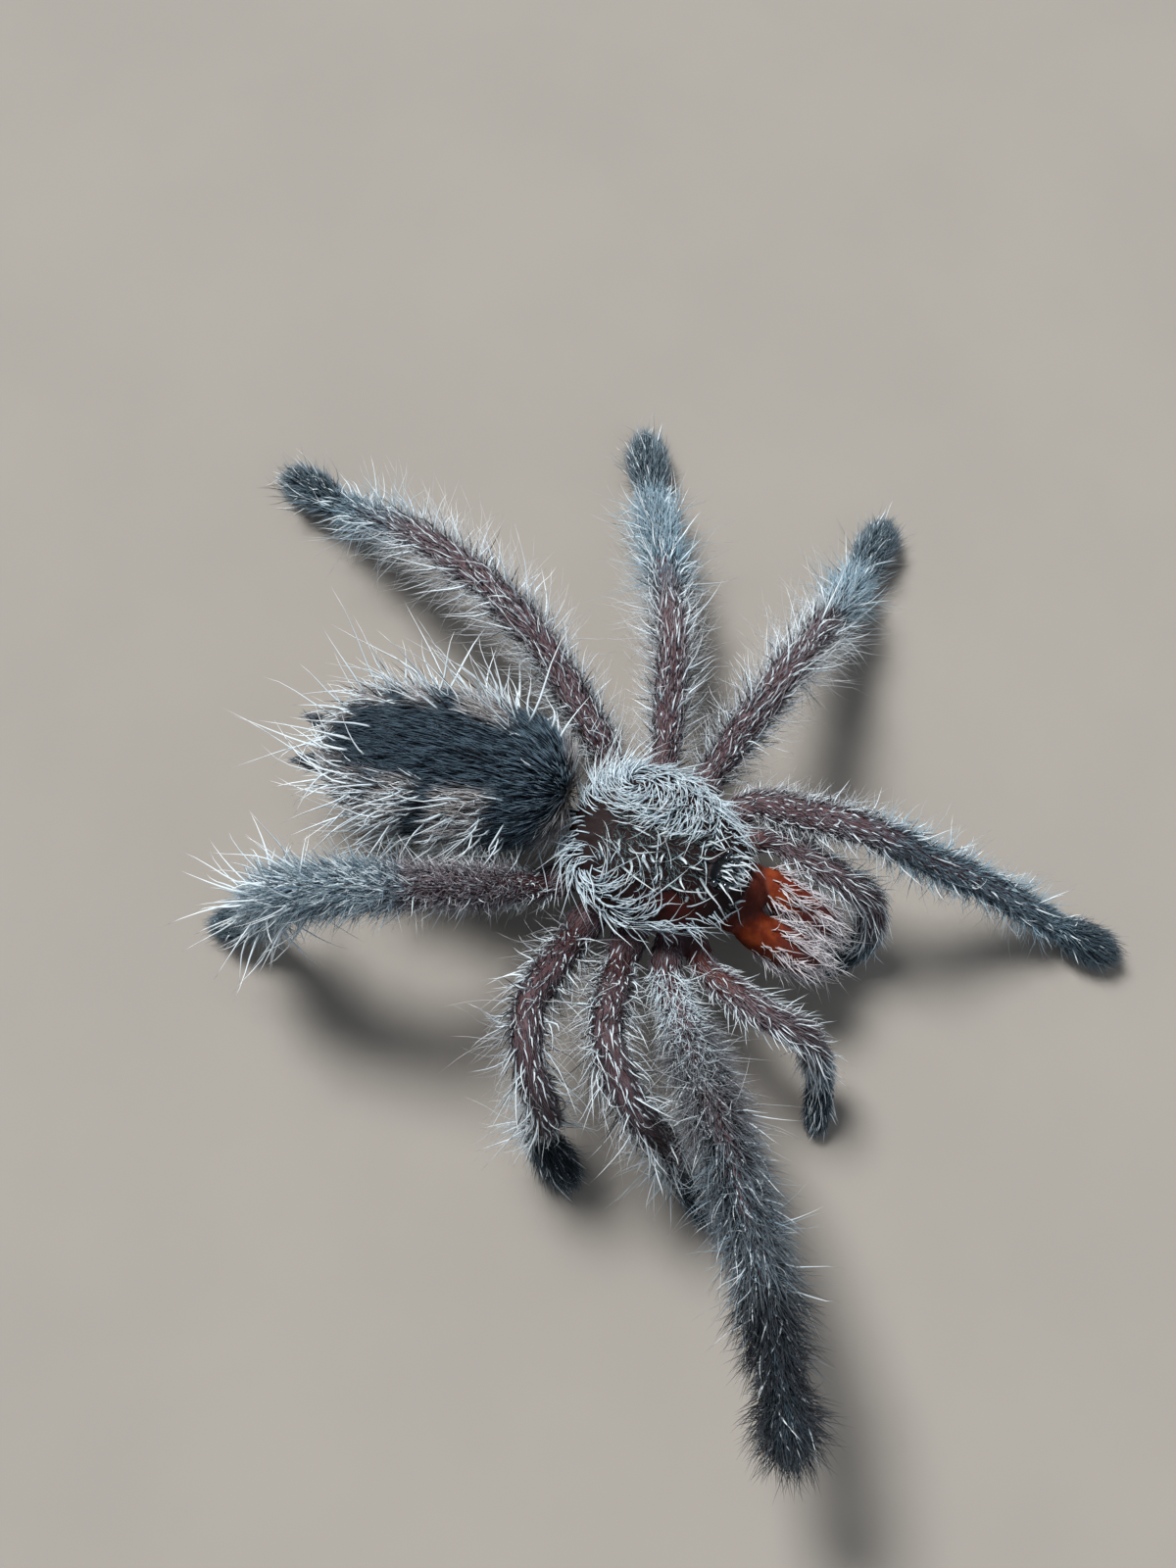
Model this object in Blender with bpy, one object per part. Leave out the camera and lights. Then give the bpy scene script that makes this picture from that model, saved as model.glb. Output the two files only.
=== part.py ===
"""A young pink toe tarantula, life size, standing with its right front leg raised.

Units are metres and +Z is up.  The head faces -Y and the animal's left side is +X.  Every solid reaches out
to the tips of the hair that covers it, so a leg here is thicker than its skin.  All sizes are worked out from
CARAPACE, the length of the head shield: an arachnologist's usual yardstick.  Names ending in _UNITS hold
sizes in ninths of the carapace, which on this animal are millimetres.
"""
import math

import bmesh
import bpy
import numpy as np
from mathutils import Matrix, Vector
from mathutils.bvhtree import BVHTree

CARAPACE = 0.0090                 # length of the head shield, front to back
UNIT = CARAPACE / 9.0             # one ninth of it

PART_GAP = 0.34                   # between two lengths of one leg, and a leg and its neighbour
FINE_GAP = 0.10                   # round the eyes, fangs and other small pieces
SOLE_HEIGHT = 0.90                # of a toe's middle line above the floor

HIP_HEIGHT = 5.0
HIP_UNITS = {                     # across and along, from the middle of the carapace to each hip joint
    "palp": (3.9, -4.7),
    "leg_1": (5.1, -3.2),
    "leg_2": (5.65, -0.9),
    "leg_3": (5.5, 1.75),
    "leg_4": (3.9, 4.3),
}

SEGMENT_UNITS = {                 # femur, patella, tibia, metatarsus, tarsus; a palp has no metatarsus
    "palp": (4.6, 2.7, 3.5, 3.0),
    "leg_1": (6.9, 3.8, 5.3, 4.8, 3.1),
    "leg_2": (6.2, 3.4, 4.6, 4.4, 3.0),
    "leg_3": (5.4, 3.1, 4.0, 4.4, 3.0),
    "leg_4": (6.8, 3.4, 5.4, 5.8, 3.2),
}

# Each segment's heading, in degrees from the animal's left towards its tail, and its slope above level.
POSE = {
    ("left", "palp"): ((-100, 17), (-78, -43), (-140, -59), (139, -11)),
    ("left", "leg_1"): ((-89, 35), (-77, -34), (-75, -32), (-81, -31), (-87, -12)),
    ("left", "leg_2"): ((-10, 35), (-11, -38), (-12, -36), (-5, -34), (-5, -7)),
    ("left", "leg_3"): ((24, 17), (25, -30), (25, -28), (30, -26), (30, -7)),
    ("left", "leg_4"): ((62, 19), (69, 4), (72, -21), (79, -37), (80, -20)),
    ("right", "palp"): ((-109, 31), (-77, -34), (-108, -58), (-150, -42)),
    ("right", "leg_1"): ((-141, 28), (-142, 26), (-143, 18), (-143, -8), (-144, -12)),
    ("right", "leg_2"): ((188, 44), (226, 0), (266, -54), (258, -70), (256, -20)),
    ("right", "leg_3"): ((173, 34), (200, 20), (236, -42), (252, -98), (247, -30)),
    ("right", "leg_4"): ((128, 38), (123, 24), (117, -20), (118, -95), (109, -43)),
}
RAISED = ("right", "leg_1")

# Hairy radius along a limb: (place, radius), where place 0 is the coxa, 1 the hip, 2 the knee and so on.
LEG_RADII = ((0, 0.80), (1, 1.05), (1.5, 1.55), (2, 1.55), (2.5, 1.70), (3, 1.75), (3.5, 2.00), (4, 1.75),
             (4.5, 1.80), (5, 1.65), (5.5, 1.50), (6, 1.25))
PALP_RADII = ((0, 0.70), (1, 0.80), (1.5, 1.20), (2, 1.20), (3, 1.30), (3.5, 1.40), (4, 1.30), (5, 1.10))
BEND_RADIUS = 2.3                 # of a limb's middle line round a joint
TUBE_STATIONS = 7                 # rings along one length of a limb
END_LEAD = 0.12                   # between the last two rings, so that an end faces square along the limb
COXA_START = (1.35, 0.72)         # distance from the sternum's rim, and how far the coxae draw together
COXA_DROP = 0.4                   # of a coxa's inner end below the hip

STERNUM_CENTRE = Vector((0.0, -0.3, 4.45))
STERNUM_HALF = (1.85, 3.3, 1.30)
CARAPACE_CENTRE = Vector((0.0, -0.15, 6.50))
CARAPACE_HALF = (4.45, 4.85, 2.40)
CARAPACE_UNDER = 0.30             # depth of its rim below the centre
ABDOMEN_CENTRE = Vector((-0.75, 10.7, 6.1))
ABDOMEN_HALF = (4.2, 5.9, 3.8)
ABDOMEN_TAIL = 6.9                # its rear half is longer than its front half
ABDOMEN_TURN = 12.0               # degrees, tail towards the animal's right
ABDOMEN_DROOP = 12.0              # degrees, tail down
TURRET_CENTRE = Vector((0.0, -3.3, 8.70))
TURRET_HALF = (1.00, 0.80, 0.70)
CHELICERA_CENTRE = Vector((0.2, -7.45, 4.80))
CHELICERA_SPREAD = 1.20           # of each basal segment from their middle plane
CHELICERA_HALF = (1.10, 2.70, 1.50)
CHELICERA_DROOP = 22.0
CHELICERA_TOE_IN = 4.0
FANG_RADIUS = 0.32
SPINNERET_RADIUS = 0.42

EYES = {                          # half spacing, along, height above the turret's centre, radius
    "front_middle": (0.30, -0.34, 0.52, 0.24),
    "front_side": (0.74, -0.36, 0.26, 0.22),
    "rear_middle": (0.46, 0.16, 0.50, 0.15),
    "rear_side": (0.84, 0.18, 0.24, 0.19),
}

COLOURS = {                       # base colour, roughness, metallic
    "carapace": ((0.055, 0.035, 0.040), 0.55, 0.0),
    "abdomen": ((0.035, 0.040, 0.055), 0.70, 0.0),
    "leg": ((0.075, 0.055, 0.065), 0.60, 0.0),
    "foot": ((0.030, 0.042, 0.055), 0.70, 0.0),
    "jaw": ((0.330, 0.070, 0.030), 0.40, 0.0),
    "fang": ((0.020, 0.012, 0.012), 0.20, 0.0),
    "eye": ((0.010, 0.012, 0.018), 0.08, 0.0),
}


def collection(name):
    """Return a new collection linked to the scene."""
    made = bpy.data.collections.new(name)
    bpy.context.scene.collection.children.link(made)
    return made


def material(name, kind):
    """Return a Principled material of one of the COLOURS."""
    colour, roughness, metallic = COLOURS[kind]
    made = bpy.data.materials.new(name)
    made.use_nodes = True
    shader = made.node_tree.nodes["Principled BSDF"]
    shader.inputs["Base Color"].default_value = (*colour, 1.0)
    shader.inputs["Roughness"].default_value = roughness
    shader.inputs["Metallic"].default_value = metallic
    return made


def smoothstep(low, high, value):
    """Ease from 0 at low to 1 at high."""
    share = min(1.0, max(0.0, (value - low) / (high - low)))
    return share * share * (3.0 - 2.0 * share)


def add_part(name, bm, kind, home):
    """Finish a mesh given in units as one named, smooth-shaded object in metres."""
    bmesh.ops.scale(bm, vec=(UNIT, UNIT, UNIT), verts=bm.verts)
    mesh = bpy.data.meshes.new(name)
    bm.to_mesh(mesh)
    bm.free()
    mesh.shade_smooth()
    mesh.set_sharp_from_angle(angle=math.radians(40.0))
    mesh.materials.append(material(name, kind))
    part = bpy.data.objects.new(name, mesh)
    home.objects.link(part)
    return part


def face_outwards(bm):
    """Turn every face of a closed mesh to point out."""
    bm.normal_update()
    bmesh.ops.recalc_face_normals(bm, faces=bm.faces)
    if bm.calc_volume(signed=True) < 0.0:
        bmesh.ops.reverse_faces(bm, faces=bm.faces)


def ball(segments, rings, shape):
    """A closed ball with its poles on Y, each unit direction moved to where shape puts it."""
    bm = bmesh.new()
    bmesh.ops.create_uvsphere(bm, u_segments=segments, v_segments=rings, radius=1.0)
    for vert in bm.verts:
        across, up, along = vert.co.x, vert.co.y, -vert.co.z
        vert.co = shape(Vector((across, along, up)).normalized())
    face_outwards(bm)
    return bm


def full_girth(along, power):
    """Radius of a blunt body at a share of its half length, against a sphere's at the same place."""
    sphere = math.sqrt(max(1e-9, 1.0 - along * along))
    return (1.0 - abs(along) ** power) ** (1.0 / power) / sphere if sphere > 1e-3 else 1.0


def carapace_shape(unit):
    """The head shield: low behind, high at the head, almost flat beneath."""
    girth = full_girth(unit.y, 2.5)
    head = smoothstep(0.15, -0.75, unit.y)
    rear = smoothstep(0.15, 1.0, unit.y)
    half_x, half_y, high = CARAPACE_HALF
    across = unit.x * girth * half_x * (1.0 - 0.16 * head - 0.10 * rear)
    rise = high * (1.0 + 0.05 * head - 0.35 * rear) if unit.z > 0.0 else CARAPACE_UNDER
    return CARAPACE_CENTRE + Vector((across, unit.y * half_y, unit.z * girth * rise))


def abdomen_matrix():
    """The abdomen's own frame: turned to the right and drooping at the tail."""
    turn = Matrix.Rotation(math.radians(ABDOMEN_TURN), 4, "Z")
    droop = Matrix.Rotation(math.radians(-ABDOMEN_DROOP), 4, "X")
    return Matrix.Translation(ABDOMEN_CENTRE) @ turn @ droop


def abdomen_shape(unit):
    """An egg, blunter and wider towards the tail."""
    half_x, half_y, half_z = ABDOMEN_HALF
    length = ABDOMEN_TAIL if unit.y > 0.0 else half_y
    width = 1.0 + 0.06 * unit.y
    girth = full_girth(unit.y, 2.25)
    local = Vector((unit.x * half_x * width * girth, unit.y * length, unit.z * half_z * girth))
    return abdomen_matrix() @ local


def chelicera_matrix(side):
    """One jaw's own frame: drooping at the front and turned a little to the middle."""
    spread = Vector((side * CHELICERA_SPREAD, 0.0, 0.0))
    toe_in = Matrix.Rotation(math.radians(-side * CHELICERA_TOE_IN), 4, "Z")
    droop = Matrix.Rotation(math.radians(CHELICERA_DROOP), 4, "X")
    return Matrix.Translation(CHELICERA_CENTRE + spread) @ toe_in @ droop


def chelicera_shape(side):
    """Return the shape of one jaw's basal segment: a blunt, deep-chested oval."""
    frame = chelicera_matrix(side)

    def shape(unit):
        half_x, half_y, half_z = CHELICERA_HALF
        girth = full_girth(unit.y, 2.6)
        chest = 1.0 - 0.22 * smoothstep(0.1, 1.0, unit.y)
        return frame @ Vector((unit.x * half_x * girth, unit.y * half_y, unit.z * half_z * girth * chest))

    return shape


def plain_shape(centre, half):
    """Return the shape of a plain ellipsoid."""
    return lambda unit: centre + Vector((unit.x * half[0], unit.y * half[1], unit.z * half[2]))


def direction(heading, slope):
    """Unit vector from a heading and a slope in degrees."""
    turn, rise = math.radians(heading), math.radians(slope)
    return Vector((math.cos(turn) * math.cos(rise), math.sin(turn) * math.cos(rise), math.sin(rise)))


def limb_joints(side, limb):
    """Coxa, hip, knee and the further joints of a limb, down to the toe."""
    sign = 1.0 if side == "left" else -1.0
    across, along = HIP_UNITS[limb]
    hip = Vector((sign * across, along, HIP_HEIGHT))
    rim, gather = COXA_START
    inner_along = along * gather
    bulge = math.sqrt(max(0.05, 1.0 - (inner_along / (STERNUM_HALF[1] + rim)) ** 2))
    coxa = Vector((sign * (STERNUM_HALF[0] + rim) * bulge, inner_along, HIP_HEIGHT - COXA_DROP))
    joints = [coxa, hip]
    for length, (heading, slope) in zip(SEGMENT_UNITS[limb], POSE[side, limb]):
        joints.append(joints[-1] + direction(heading, slope) * length)
    if (side, limb) != RAISED:
        error = joints[-1].z - SOLE_HEIGHT
        for step, joint in enumerate(joints[2:], start=1):
            joint.z -= error * step / (len(joints) - 2)
    return joints


def rounded_path(joints):
    """Dense (place, point) samples along the joints, with each bend rounded off."""
    samples = [(0.0, joints[0])]
    for index in range(1, len(joints) - 1):
        before, joint, after = joints[index - 1], joints[index], joints[index + 1]
        back, ahead = (before - joint).normalized(), (after - joint).normalized()
        half_turn = 0.5 * (math.pi - back.angle(ahead))
        reach = BEND_RADIUS * math.tan(half_turn)
        reach = min(reach, 0.47 * (before - joint).length, 0.47 * (after - joint).length)
        share_back, share_ahead = reach / (before - joint).length, reach / (after - joint).length
        centre = joint + (back + ahead).normalized() * (reach / math.sin(half_turn))
        start, end = joint + back * reach - centre, joint + ahead * reach - centre
        for step in range(9):
            t = step / 8.0
            point = centre + start.slerp(end, t) * start.length
            place = index - share_back * (1.0 - 2.0 * t) if t < 0.5 else index + share_ahead * (2.0 * t - 1.0)
            samples.append((place, point))
    samples.append((float(len(joints) - 1), joints[-1]))
    return samples


def read_path(samples, place):
    """Point of a rounded path at a place along it."""
    for (low, start), (high, end) in zip(samples, samples[1:]):
        if place <= high:
            share = (place - low) / (high - low) if high > low else 0.0
            return start.lerp(end, max(0.0, share))
    return samples[-1][1].copy()


def read_radius(table, place):
    """Hairy radius of a limb at a place along it."""
    return float(np.interp(place, [row[0] for row in table], [row[1] for row in table]))


class Limb:
    """One leg or palp: its rounded middle line and its radius at every place."""

    def __init__(self, side, limb):
        self.side = side
        self.limb = limb
        self.joints = limb_joints(side, limb)
        self.samples = rounded_path(self.joints)
        self.table = PALP_RADII if limb == "palp" else LEG_RADII
        self.places = np.linspace(0.0, len(self.joints) - 1.0, 12 * (len(self.joints) - 1) + 1)
        self.points = [read_path(self.samples, place) for place in self.places]
        self.radii = [read_radius(self.table, place) for place in self.places]

    def give_way(self, others, bodies):
        """Thin the limb wherever a neighbouring limb or body would touch it."""
        cloud = np.array([point for other in others for point in other.points])
        for index, point in enumerate(self.points):
            apart = float(np.min(np.linalg.norm(cloud - np.array(point), axis=1)))
            room = 0.5 * (apart - PART_GAP)
            for body in bodies:
                room = min(room, body.find_nearest(point)[3] - PART_GAP)
            self.radii[index] = min(self.radii[index], room)

    def stations(self, first, last):
        """Rings of one length of the limb: trimmed at its cuts and rounded off at the toe."""
        end = len(self.joints) - 1.0
        length_here = (read_path(self.samples, last) - read_path(self.samples, first)).length
        trim = 0.5 * PART_GAP / length_here * (last - first)
        low = first + (trim if first > 0.0 else 0.0)
        high = last - (trim if last < end else 0.0)
        lead = END_LEAD / length_here * (last - first)
        places = list(np.linspace(low, high, TUBE_STATIONS))
        places = [low] * (first > 0.0) + [low + lead * (first > 0.0)] + places[1:-1] + [high - lead] + [high]
        rings = []
        for place in places:
            radius = float(np.interp(place, self.places, self.radii))
            rings.append((read_path(self.samples, place), radius))
        if last == end:
            tip, radius = rings[-1]
            ahead = (tip - rings[-2][0]).normalized()
            for lean in (35.0, 65.0):
                angle = math.radians(lean)
                rings.append((tip + ahead * radius * math.sin(angle), radius * math.cos(angle)))
        return rings


def tube(name, rings):
    """A closed bmesh tube through rings of (point, radius), made as a bevelled curve."""
    curve = bpy.data.curves.new(name, "CURVE")
    curve.dimensions = "3D"
    curve.bevel_depth = 1.0
    curve.bevel_resolution = 3
    curve.use_fill_caps = True
    spline = curve.splines.new("POLY")
    spline.points.add(len(rings) - 1)
    for target, (point, radius) in zip(spline.points, rings):
        target.co = (*point, 1.0)
        target.radius = radius
    guide = bpy.data.objects.new(name, curve)
    bpy.context.scene.collection.objects.link(guide)
    depsgraph = bpy.context.evaluated_depsgraph_get()
    mesh = bpy.data.meshes.new_from_object(guide.evaluated_get(depsgraph))
    bm = bmesh.new()
    bm.from_mesh(mesh)
    bmesh.ops.remove_doubles(bm, verts=bm.verts, dist=1e-4)
    face_outwards(bm)
    bpy.data.objects.remove(guide)
    bpy.data.curves.remove(curve)
    bpy.data.meshes.remove(mesh)
    return bm


def stand_on_floor(bm):
    """Cut off whatever lies below the floor, leaving a flat sole."""
    geometry = bm.verts[:] + bm.edges[:] + bm.faces[:]
    cut = bmesh.ops.bisect_plane(bm, geom=geometry, dist=1e-6, plane_co=(0, 0, 0), plane_no=(0, 0, -1),
                                 clear_outer=True)
    rim = [item for item in cut["geom_cut"] if isinstance(item, bmesh.types.BMEdge)]
    if rim:
        bmesh.ops.edgeloop_fill(bm, edges=rim)
        face_outwards(bm)


def grown_cutter(part, gap, home):
    """A hidden copy of a part, grown by a gap, for cutting its neighbour."""
    cutter = bpy.data.objects.new(part.name + "_clearance", part.data.copy())
    bm = bmesh.new()
    bm.from_mesh(cutter.data)
    bm.normal_update()
    for vert in bm.verts:
        vert.co += vert.normal * gap * UNIT
    bm.to_mesh(cutter.data)
    bm.free()
    cutter.hide_render = True
    cutter.display_type = "WIRE"
    home.objects.link(cutter)
    return cutter


def cut_clear(part, neighbours, gap, home):
    """Cut a part back so that it keeps a gap to its neighbours."""
    for neighbour in neighbours:
        cut = part.modifiers.new("clear_of_" + neighbour.name, "BOOLEAN")
        cut.operation = "DIFFERENCE"
        cut.solver = "EXACT"
        cut.object = grown_cutter(neighbour, gap, home)


def build_body(parts, cutters):
    """Carapace, sternum, abdomen, waist, jaws, fangs and spinnerets; returns the ones that legs avoid."""
    carapace = add_part("carapace", ball(24, 14, carapace_shape), "carapace", parts)
    add_part("sternum", ball(16, 10, plain_shape(STERNUM_CENTRE, STERNUM_HALF)), "leg", parts)
    abdomen = add_part("abdomen", ball(24, 16, abdomen_shape), "abdomen", parts)
    waist_front = STERNUM_CENTRE + Vector((0.0, STERNUM_HALF[1] + PART_GAP, 0.25))
    waist_back = waist_front + Vector((-0.1, 2.2, 0.55))
    waist = add_part("pedicel", tube("pedicel", [(waist_front, 0.55), (waist_back, 0.60)]), "leg", parts)
    cut_clear(waist, [abdomen], FINE_GAP, cutters)
    jaws = []
    for side, sign in (("left", 1.0), ("right", -1.0)):
        jaw = ball(16, 10, chelicera_shape(sign))
        jaws.append(add_part("chelicera_" + side, jaw, "jaw", parts))
        frame = chelicera_matrix(sign)
        bend = [Vector(point) for point in ((0, -2.75, -0.9), (0, -2.55, -1.75), (0, -1.5, -2.15), (0, 0.1, -2.1))]
        rings = [(frame @ point, FANG_RADIUS * share) for point, share in zip(bend, (1.0, 1.0, 0.95, 0.8))]
        fang = add_part("fang_" + side, tube("fang", rings), "fang", parts)
        cut_clear(fang, [jaw_part for jaw_part in jaws if jaw_part.name.endswith(side)], FINE_GAP, cutters)
    frame = abdomen_matrix()
    for side, sign in (("left", 1.0), ("right", -1.0)):
        root = frame @ Vector((sign * 0.75, ABDOMEN_TAIL - 0.6, -0.55))
        tip = frame @ Vector((sign * 1.15, ABDOMEN_TAIL + 1.1, -0.15))
        middle = root.lerp(tip, 0.6)
        rings = [(root, SPINNERET_RADIUS), (middle, SPINNERET_RADIUS * 0.95), (tip, SPINNERET_RADIUS * 0.62)]
        spinneret = add_part("spinneret_" + side, tube("spinneret", rings), "leg", parts)
        cut_clear(spinneret, [abdomen], FINE_GAP, cutters)
    return carapace, abdomen, jaws


def build_eyes(parts, cutters, carapace):
    """The eye mound on the head, and its eight eyes in their sockets."""
    turret = add_part("eye_turret", ball(16, 10, plain_shape(TURRET_CENTRE, TURRET_HALF)), "carapace", parts)
    cut_clear(turret, [carapace], FINE_GAP, cutters)
    for place, (spacing, along, height, radius) in EYES.items():
        for side, sign in (("left", 1.0), ("right", -1.0)):
            centre = TURRET_CENTRE + Vector((sign * spacing, along, height))
            eye = ball(8, 6, plain_shape(centre, (radius, radius, radius)))
            eye_part = add_part("eye_" + place + "_" + side, eye, "eye", parts)
            cut_clear(turret, [eye_part], 0.5 * FINE_GAP, cutters)


def build_limbs(parts, avoided):
    """Eight legs of three lengths each and two palps of three, every one clear of its neighbours."""
    limbs = [Limb(side, limb) for side, limb in POSE]
    bodies = []
    for part in avoided:
        bm = bmesh.new()
        bm.from_mesh(part.data)
        bmesh.ops.scale(bm, vec=(1.0 / UNIT, 1.0 / UNIT, 1.0 / UNIT), verts=bm.verts)
        bodies.append(BVHTree.FromBMesh(bm))
        bm.free()
    for limb in limbs:
        limb.give_way([other for other in limbs if other is not limb], bodies)
    for limb in limbs:
        toe = len(limb.joints) - 1
        for name, first, last in (("femur", 0, 2), ("tibia", 2, 4), ("foot", 4, toe)):
            bm = tube(name, limb.stations(float(first), float(last)))
            stand_on_floor(bm)
            node = limb.limb.replace("leg_", "leg_" + limb.side + "_") if limb.limb != "palp" \
                else "palp_" + limb.side
            add_part(node + "_" + name, bm, "foot" if name == "foot" else "leg", parts)


def centre_on_floor(parts):
    """Hang every part on one empty that puts the middle of the whole over the origin."""
    depsgraph = bpy.context.evaluated_depsgraph_get()
    corners = []
    for part in parts.objects:
        evaluated = part.evaluated_get(depsgraph)
        corners += [vert.co.copy() for vert in evaluated.data.vertices]
    low = [min(corner[axis] for corner in corners) for axis in range(3)]
    high = [max(corner[axis] for corner in corners) for axis in range(3)]
    origin = bpy.data.objects.new("spider_origin", None)
    bpy.context.scene.collection.objects.link(origin)
    origin.location = (-0.5 * (low[0] + high[0]), -0.5 * (low[1] + high[1]), -low[2])
    for holder in (parts, bpy.data.collections["cutters"]):
        for part in holder.objects:
            part.parent = origin


def main():
    """Clear the scene and build the spider."""
    for old in list(bpy.data.objects):
        bpy.data.objects.remove(old)
    parts = collection("pink_toe_tarantula")
    cutters = collection("cutters")
    carapace, abdomen, jaws = build_body(parts, cutters)
    build_eyes(parts, cutters, carapace)
    build_limbs(parts, [carapace, abdomen] + jaws)
    centre_on_floor(parts)


main()
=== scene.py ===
"""A young pink toe tarantula, life size: one skin, eight eyes, two fangs and a coat of mesh hairs.

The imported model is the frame. Every size here is in millimetres in the spider's own frame, whose head
faces -Y, whose left side is +X and whose floor is z = 0. Habitat.finish turns a mesh into metres in the
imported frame.
"""
import logging
import math
from dataclasses import dataclass, field
from enum import Enum
from functools import cache, cached_property

import bmesh
import bpy
import numpy as np
from mathutils import Matrix, Vector
from mathutils.bvhtree import BVHTree
from mathutils.kdtree import KDTree


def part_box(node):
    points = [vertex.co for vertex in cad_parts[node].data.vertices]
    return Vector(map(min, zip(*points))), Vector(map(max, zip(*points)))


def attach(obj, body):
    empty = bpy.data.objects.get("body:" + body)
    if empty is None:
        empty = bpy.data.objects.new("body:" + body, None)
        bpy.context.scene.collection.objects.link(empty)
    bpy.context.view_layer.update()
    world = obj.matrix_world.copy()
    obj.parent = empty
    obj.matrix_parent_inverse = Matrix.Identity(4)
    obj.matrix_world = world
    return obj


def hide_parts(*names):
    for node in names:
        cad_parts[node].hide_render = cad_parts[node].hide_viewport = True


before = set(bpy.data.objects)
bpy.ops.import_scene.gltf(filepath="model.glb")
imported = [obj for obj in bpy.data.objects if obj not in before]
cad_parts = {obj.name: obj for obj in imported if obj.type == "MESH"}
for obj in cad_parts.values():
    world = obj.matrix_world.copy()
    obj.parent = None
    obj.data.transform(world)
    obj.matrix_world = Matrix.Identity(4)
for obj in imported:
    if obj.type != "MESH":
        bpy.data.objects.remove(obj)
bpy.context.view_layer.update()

log = logging.getLogger("pink_toe_tarantula")

Array = np.ndarray
Colour = tuple[float, float, float]
Shades = tuple[Colour, Colour, Colour]
Faces = list[tuple[int, ...]]
Feeds = dict[str | int, object]
Socket = bpy.types.NodeSocket
Table = tuple[tuple[float, float], ...]
Triple = tuple[float, float, float]

MILLIMETRE = 0.001
TAU = 2.0 * math.pi
SIDES = (("left", 1.0), ("right", -1.0))


# Small tools

def ease(low: float, high: float, value: Array | float) -> Array:
    """Ease from 0 at low to 1 at high.

    Args:
        low: Value that gives 0.
        high: Value that gives 1. It may be below low.
        value: One number or many.

    Returns:
        The eased share, as an array.
    """
    share = np.clip((np.asarray(value, float) - low) / (high - low), 0.0, 1.0)
    return share * share * (3.0 - 2.0 * share)


def bump(centre: float, half: float, value: Array | float) -> Array:
    """Rise to 1 at centre and fall to 0 at centre - half and centre + half."""
    return 1.0 - ease(0.0, half, np.abs(np.asarray(value, float) - centre))


def parts(rows: Array) -> Array:
    """The x, y and z of vectors."""
    return np.moveaxis(rows, -1, 0)


def vectors(*values: Array | float) -> Array:
    """Vectors from their x, y and z."""
    return np.stack(np.broadcast_arrays(*values), axis=-1)


def unit_rows(rows: Array) -> Array:
    """Scale each row of vectors to length 1."""
    return rows / np.maximum(np.linalg.norm(rows, axis=-1, keepdims=True), 1e-9)


def laid(rows: Array, out: Array) -> Array:
    """Lay vectors along a surface, at length 1."""
    return unit_rows(rows - out * np.sum(rows * out, axis=-1, keepdims=True))


def ripple(points: Array, pitch: float, seed: float, waves: int = 5) -> Array:
    """Smooth noise from -1 to 1 over points in space.

    Args:
        points: Positions, in their last axis.
        pitch: Distance between two crests, in millimetres.
        seed: Any number; another one gives another noise.
        waves: How many waves are added up.

    Returns:
        One number for each point.
    """
    total = np.zeros(points.shape[:-1])
    for turn in range(waves):
        angle = seed + 2.4 * turn
        way = np.array([math.cos(angle), math.sin(1.7 * angle), math.cos(2.3 * angle + 1.0)])
        total += np.sin(points @ way * (TAU / pitch) * (0.7 + 0.2 * turn) + 3.1 * angle)
    return total / waves


# Surfaces

class Region(Enum):
    """The part of the animal that a surface covers."""

    LEG = "leg"
    PALP = "palp"
    CARAPACE = "carapace"
    ABDOMEN = "abdomen"
    JAW = "jaw"
    TURRET = "turret"
    SPINNERET = "spinneret"
    UNDER = "under"


@dataclass
class Surface:
    """A closed surface of rings from its root to its tip, with what the coat needs to know at each point."""

    name: str
    region: Region
    side: float
    points: Array
    place: Array
    turn: Array
    masks: dict[str, Array | float] = field(default_factory=dict)

    def __post_init__(self) -> None:
        """Work out which way is out and which way is towards the tip."""
        ahead = np.gradient(self.points, axis=0)
        out = np.cross(ahead, np.roll(self.points, -1, axis=1) - np.roll(self.points, 1, axis=1))
        if float(np.sum(out * (self.points - self.points.mean(axis=1, keepdims=True)))) < 0.0:
            out = -out
        self.out = unit_rows(out)
        self.ahead = unit_rows(ahead)
        self.across = unit_rows(np.cross(self.ahead, self.out))

    def mask(self, name: str) -> Array:
        """A named mask, which is 0 where the surface has none of that name."""
        return self.masks.get(name, 0.0) + np.zeros(self.place.shape)

    @cached_property
    def shell(self) -> tuple[Array, Faces]:
        """Vertices and faces of the closed surface, with a point at each end.

        Returns:
            The vertices, ring by ring and then the two ends, and the faces, which point outwards.
        """
        rings, around = self.place.shape
        last, root = (rings - 1) * around, rings * around
        verts = with_ends(self.points)
        steps = [(step, (step + 1) % around) for step in range(around)]
        faces: Faces = [(low + step, low + follow, low + around + follow, low + around + step)
                        for low in range(0, last, around) for step, follow in steps]
        for step, follow in steps:
            faces += [(root, follow, step), (root + 1, last + step, last + follow)]
        first = faces[len(faces) // 2]
        corners = verts[list(first[:3])]
        facing = np.cross(corners[1] - corners[0], corners[2] - corners[0])
        if float(facing @ self.out.reshape(-1, 3)[first[0]]) < 0.0:
            faces = [tuple(reversed(face)) for face in faces]
        return verts, faces


def with_ends(values: Array) -> Array:
    """Flatten a grid of values ring by ring and add the mean of each end ring."""
    flat = values.reshape(-1, *values.shape[2:])
    return np.concatenate([flat, values[:1].mean(axis=1), values[-1:].mean(axis=1)])


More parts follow.
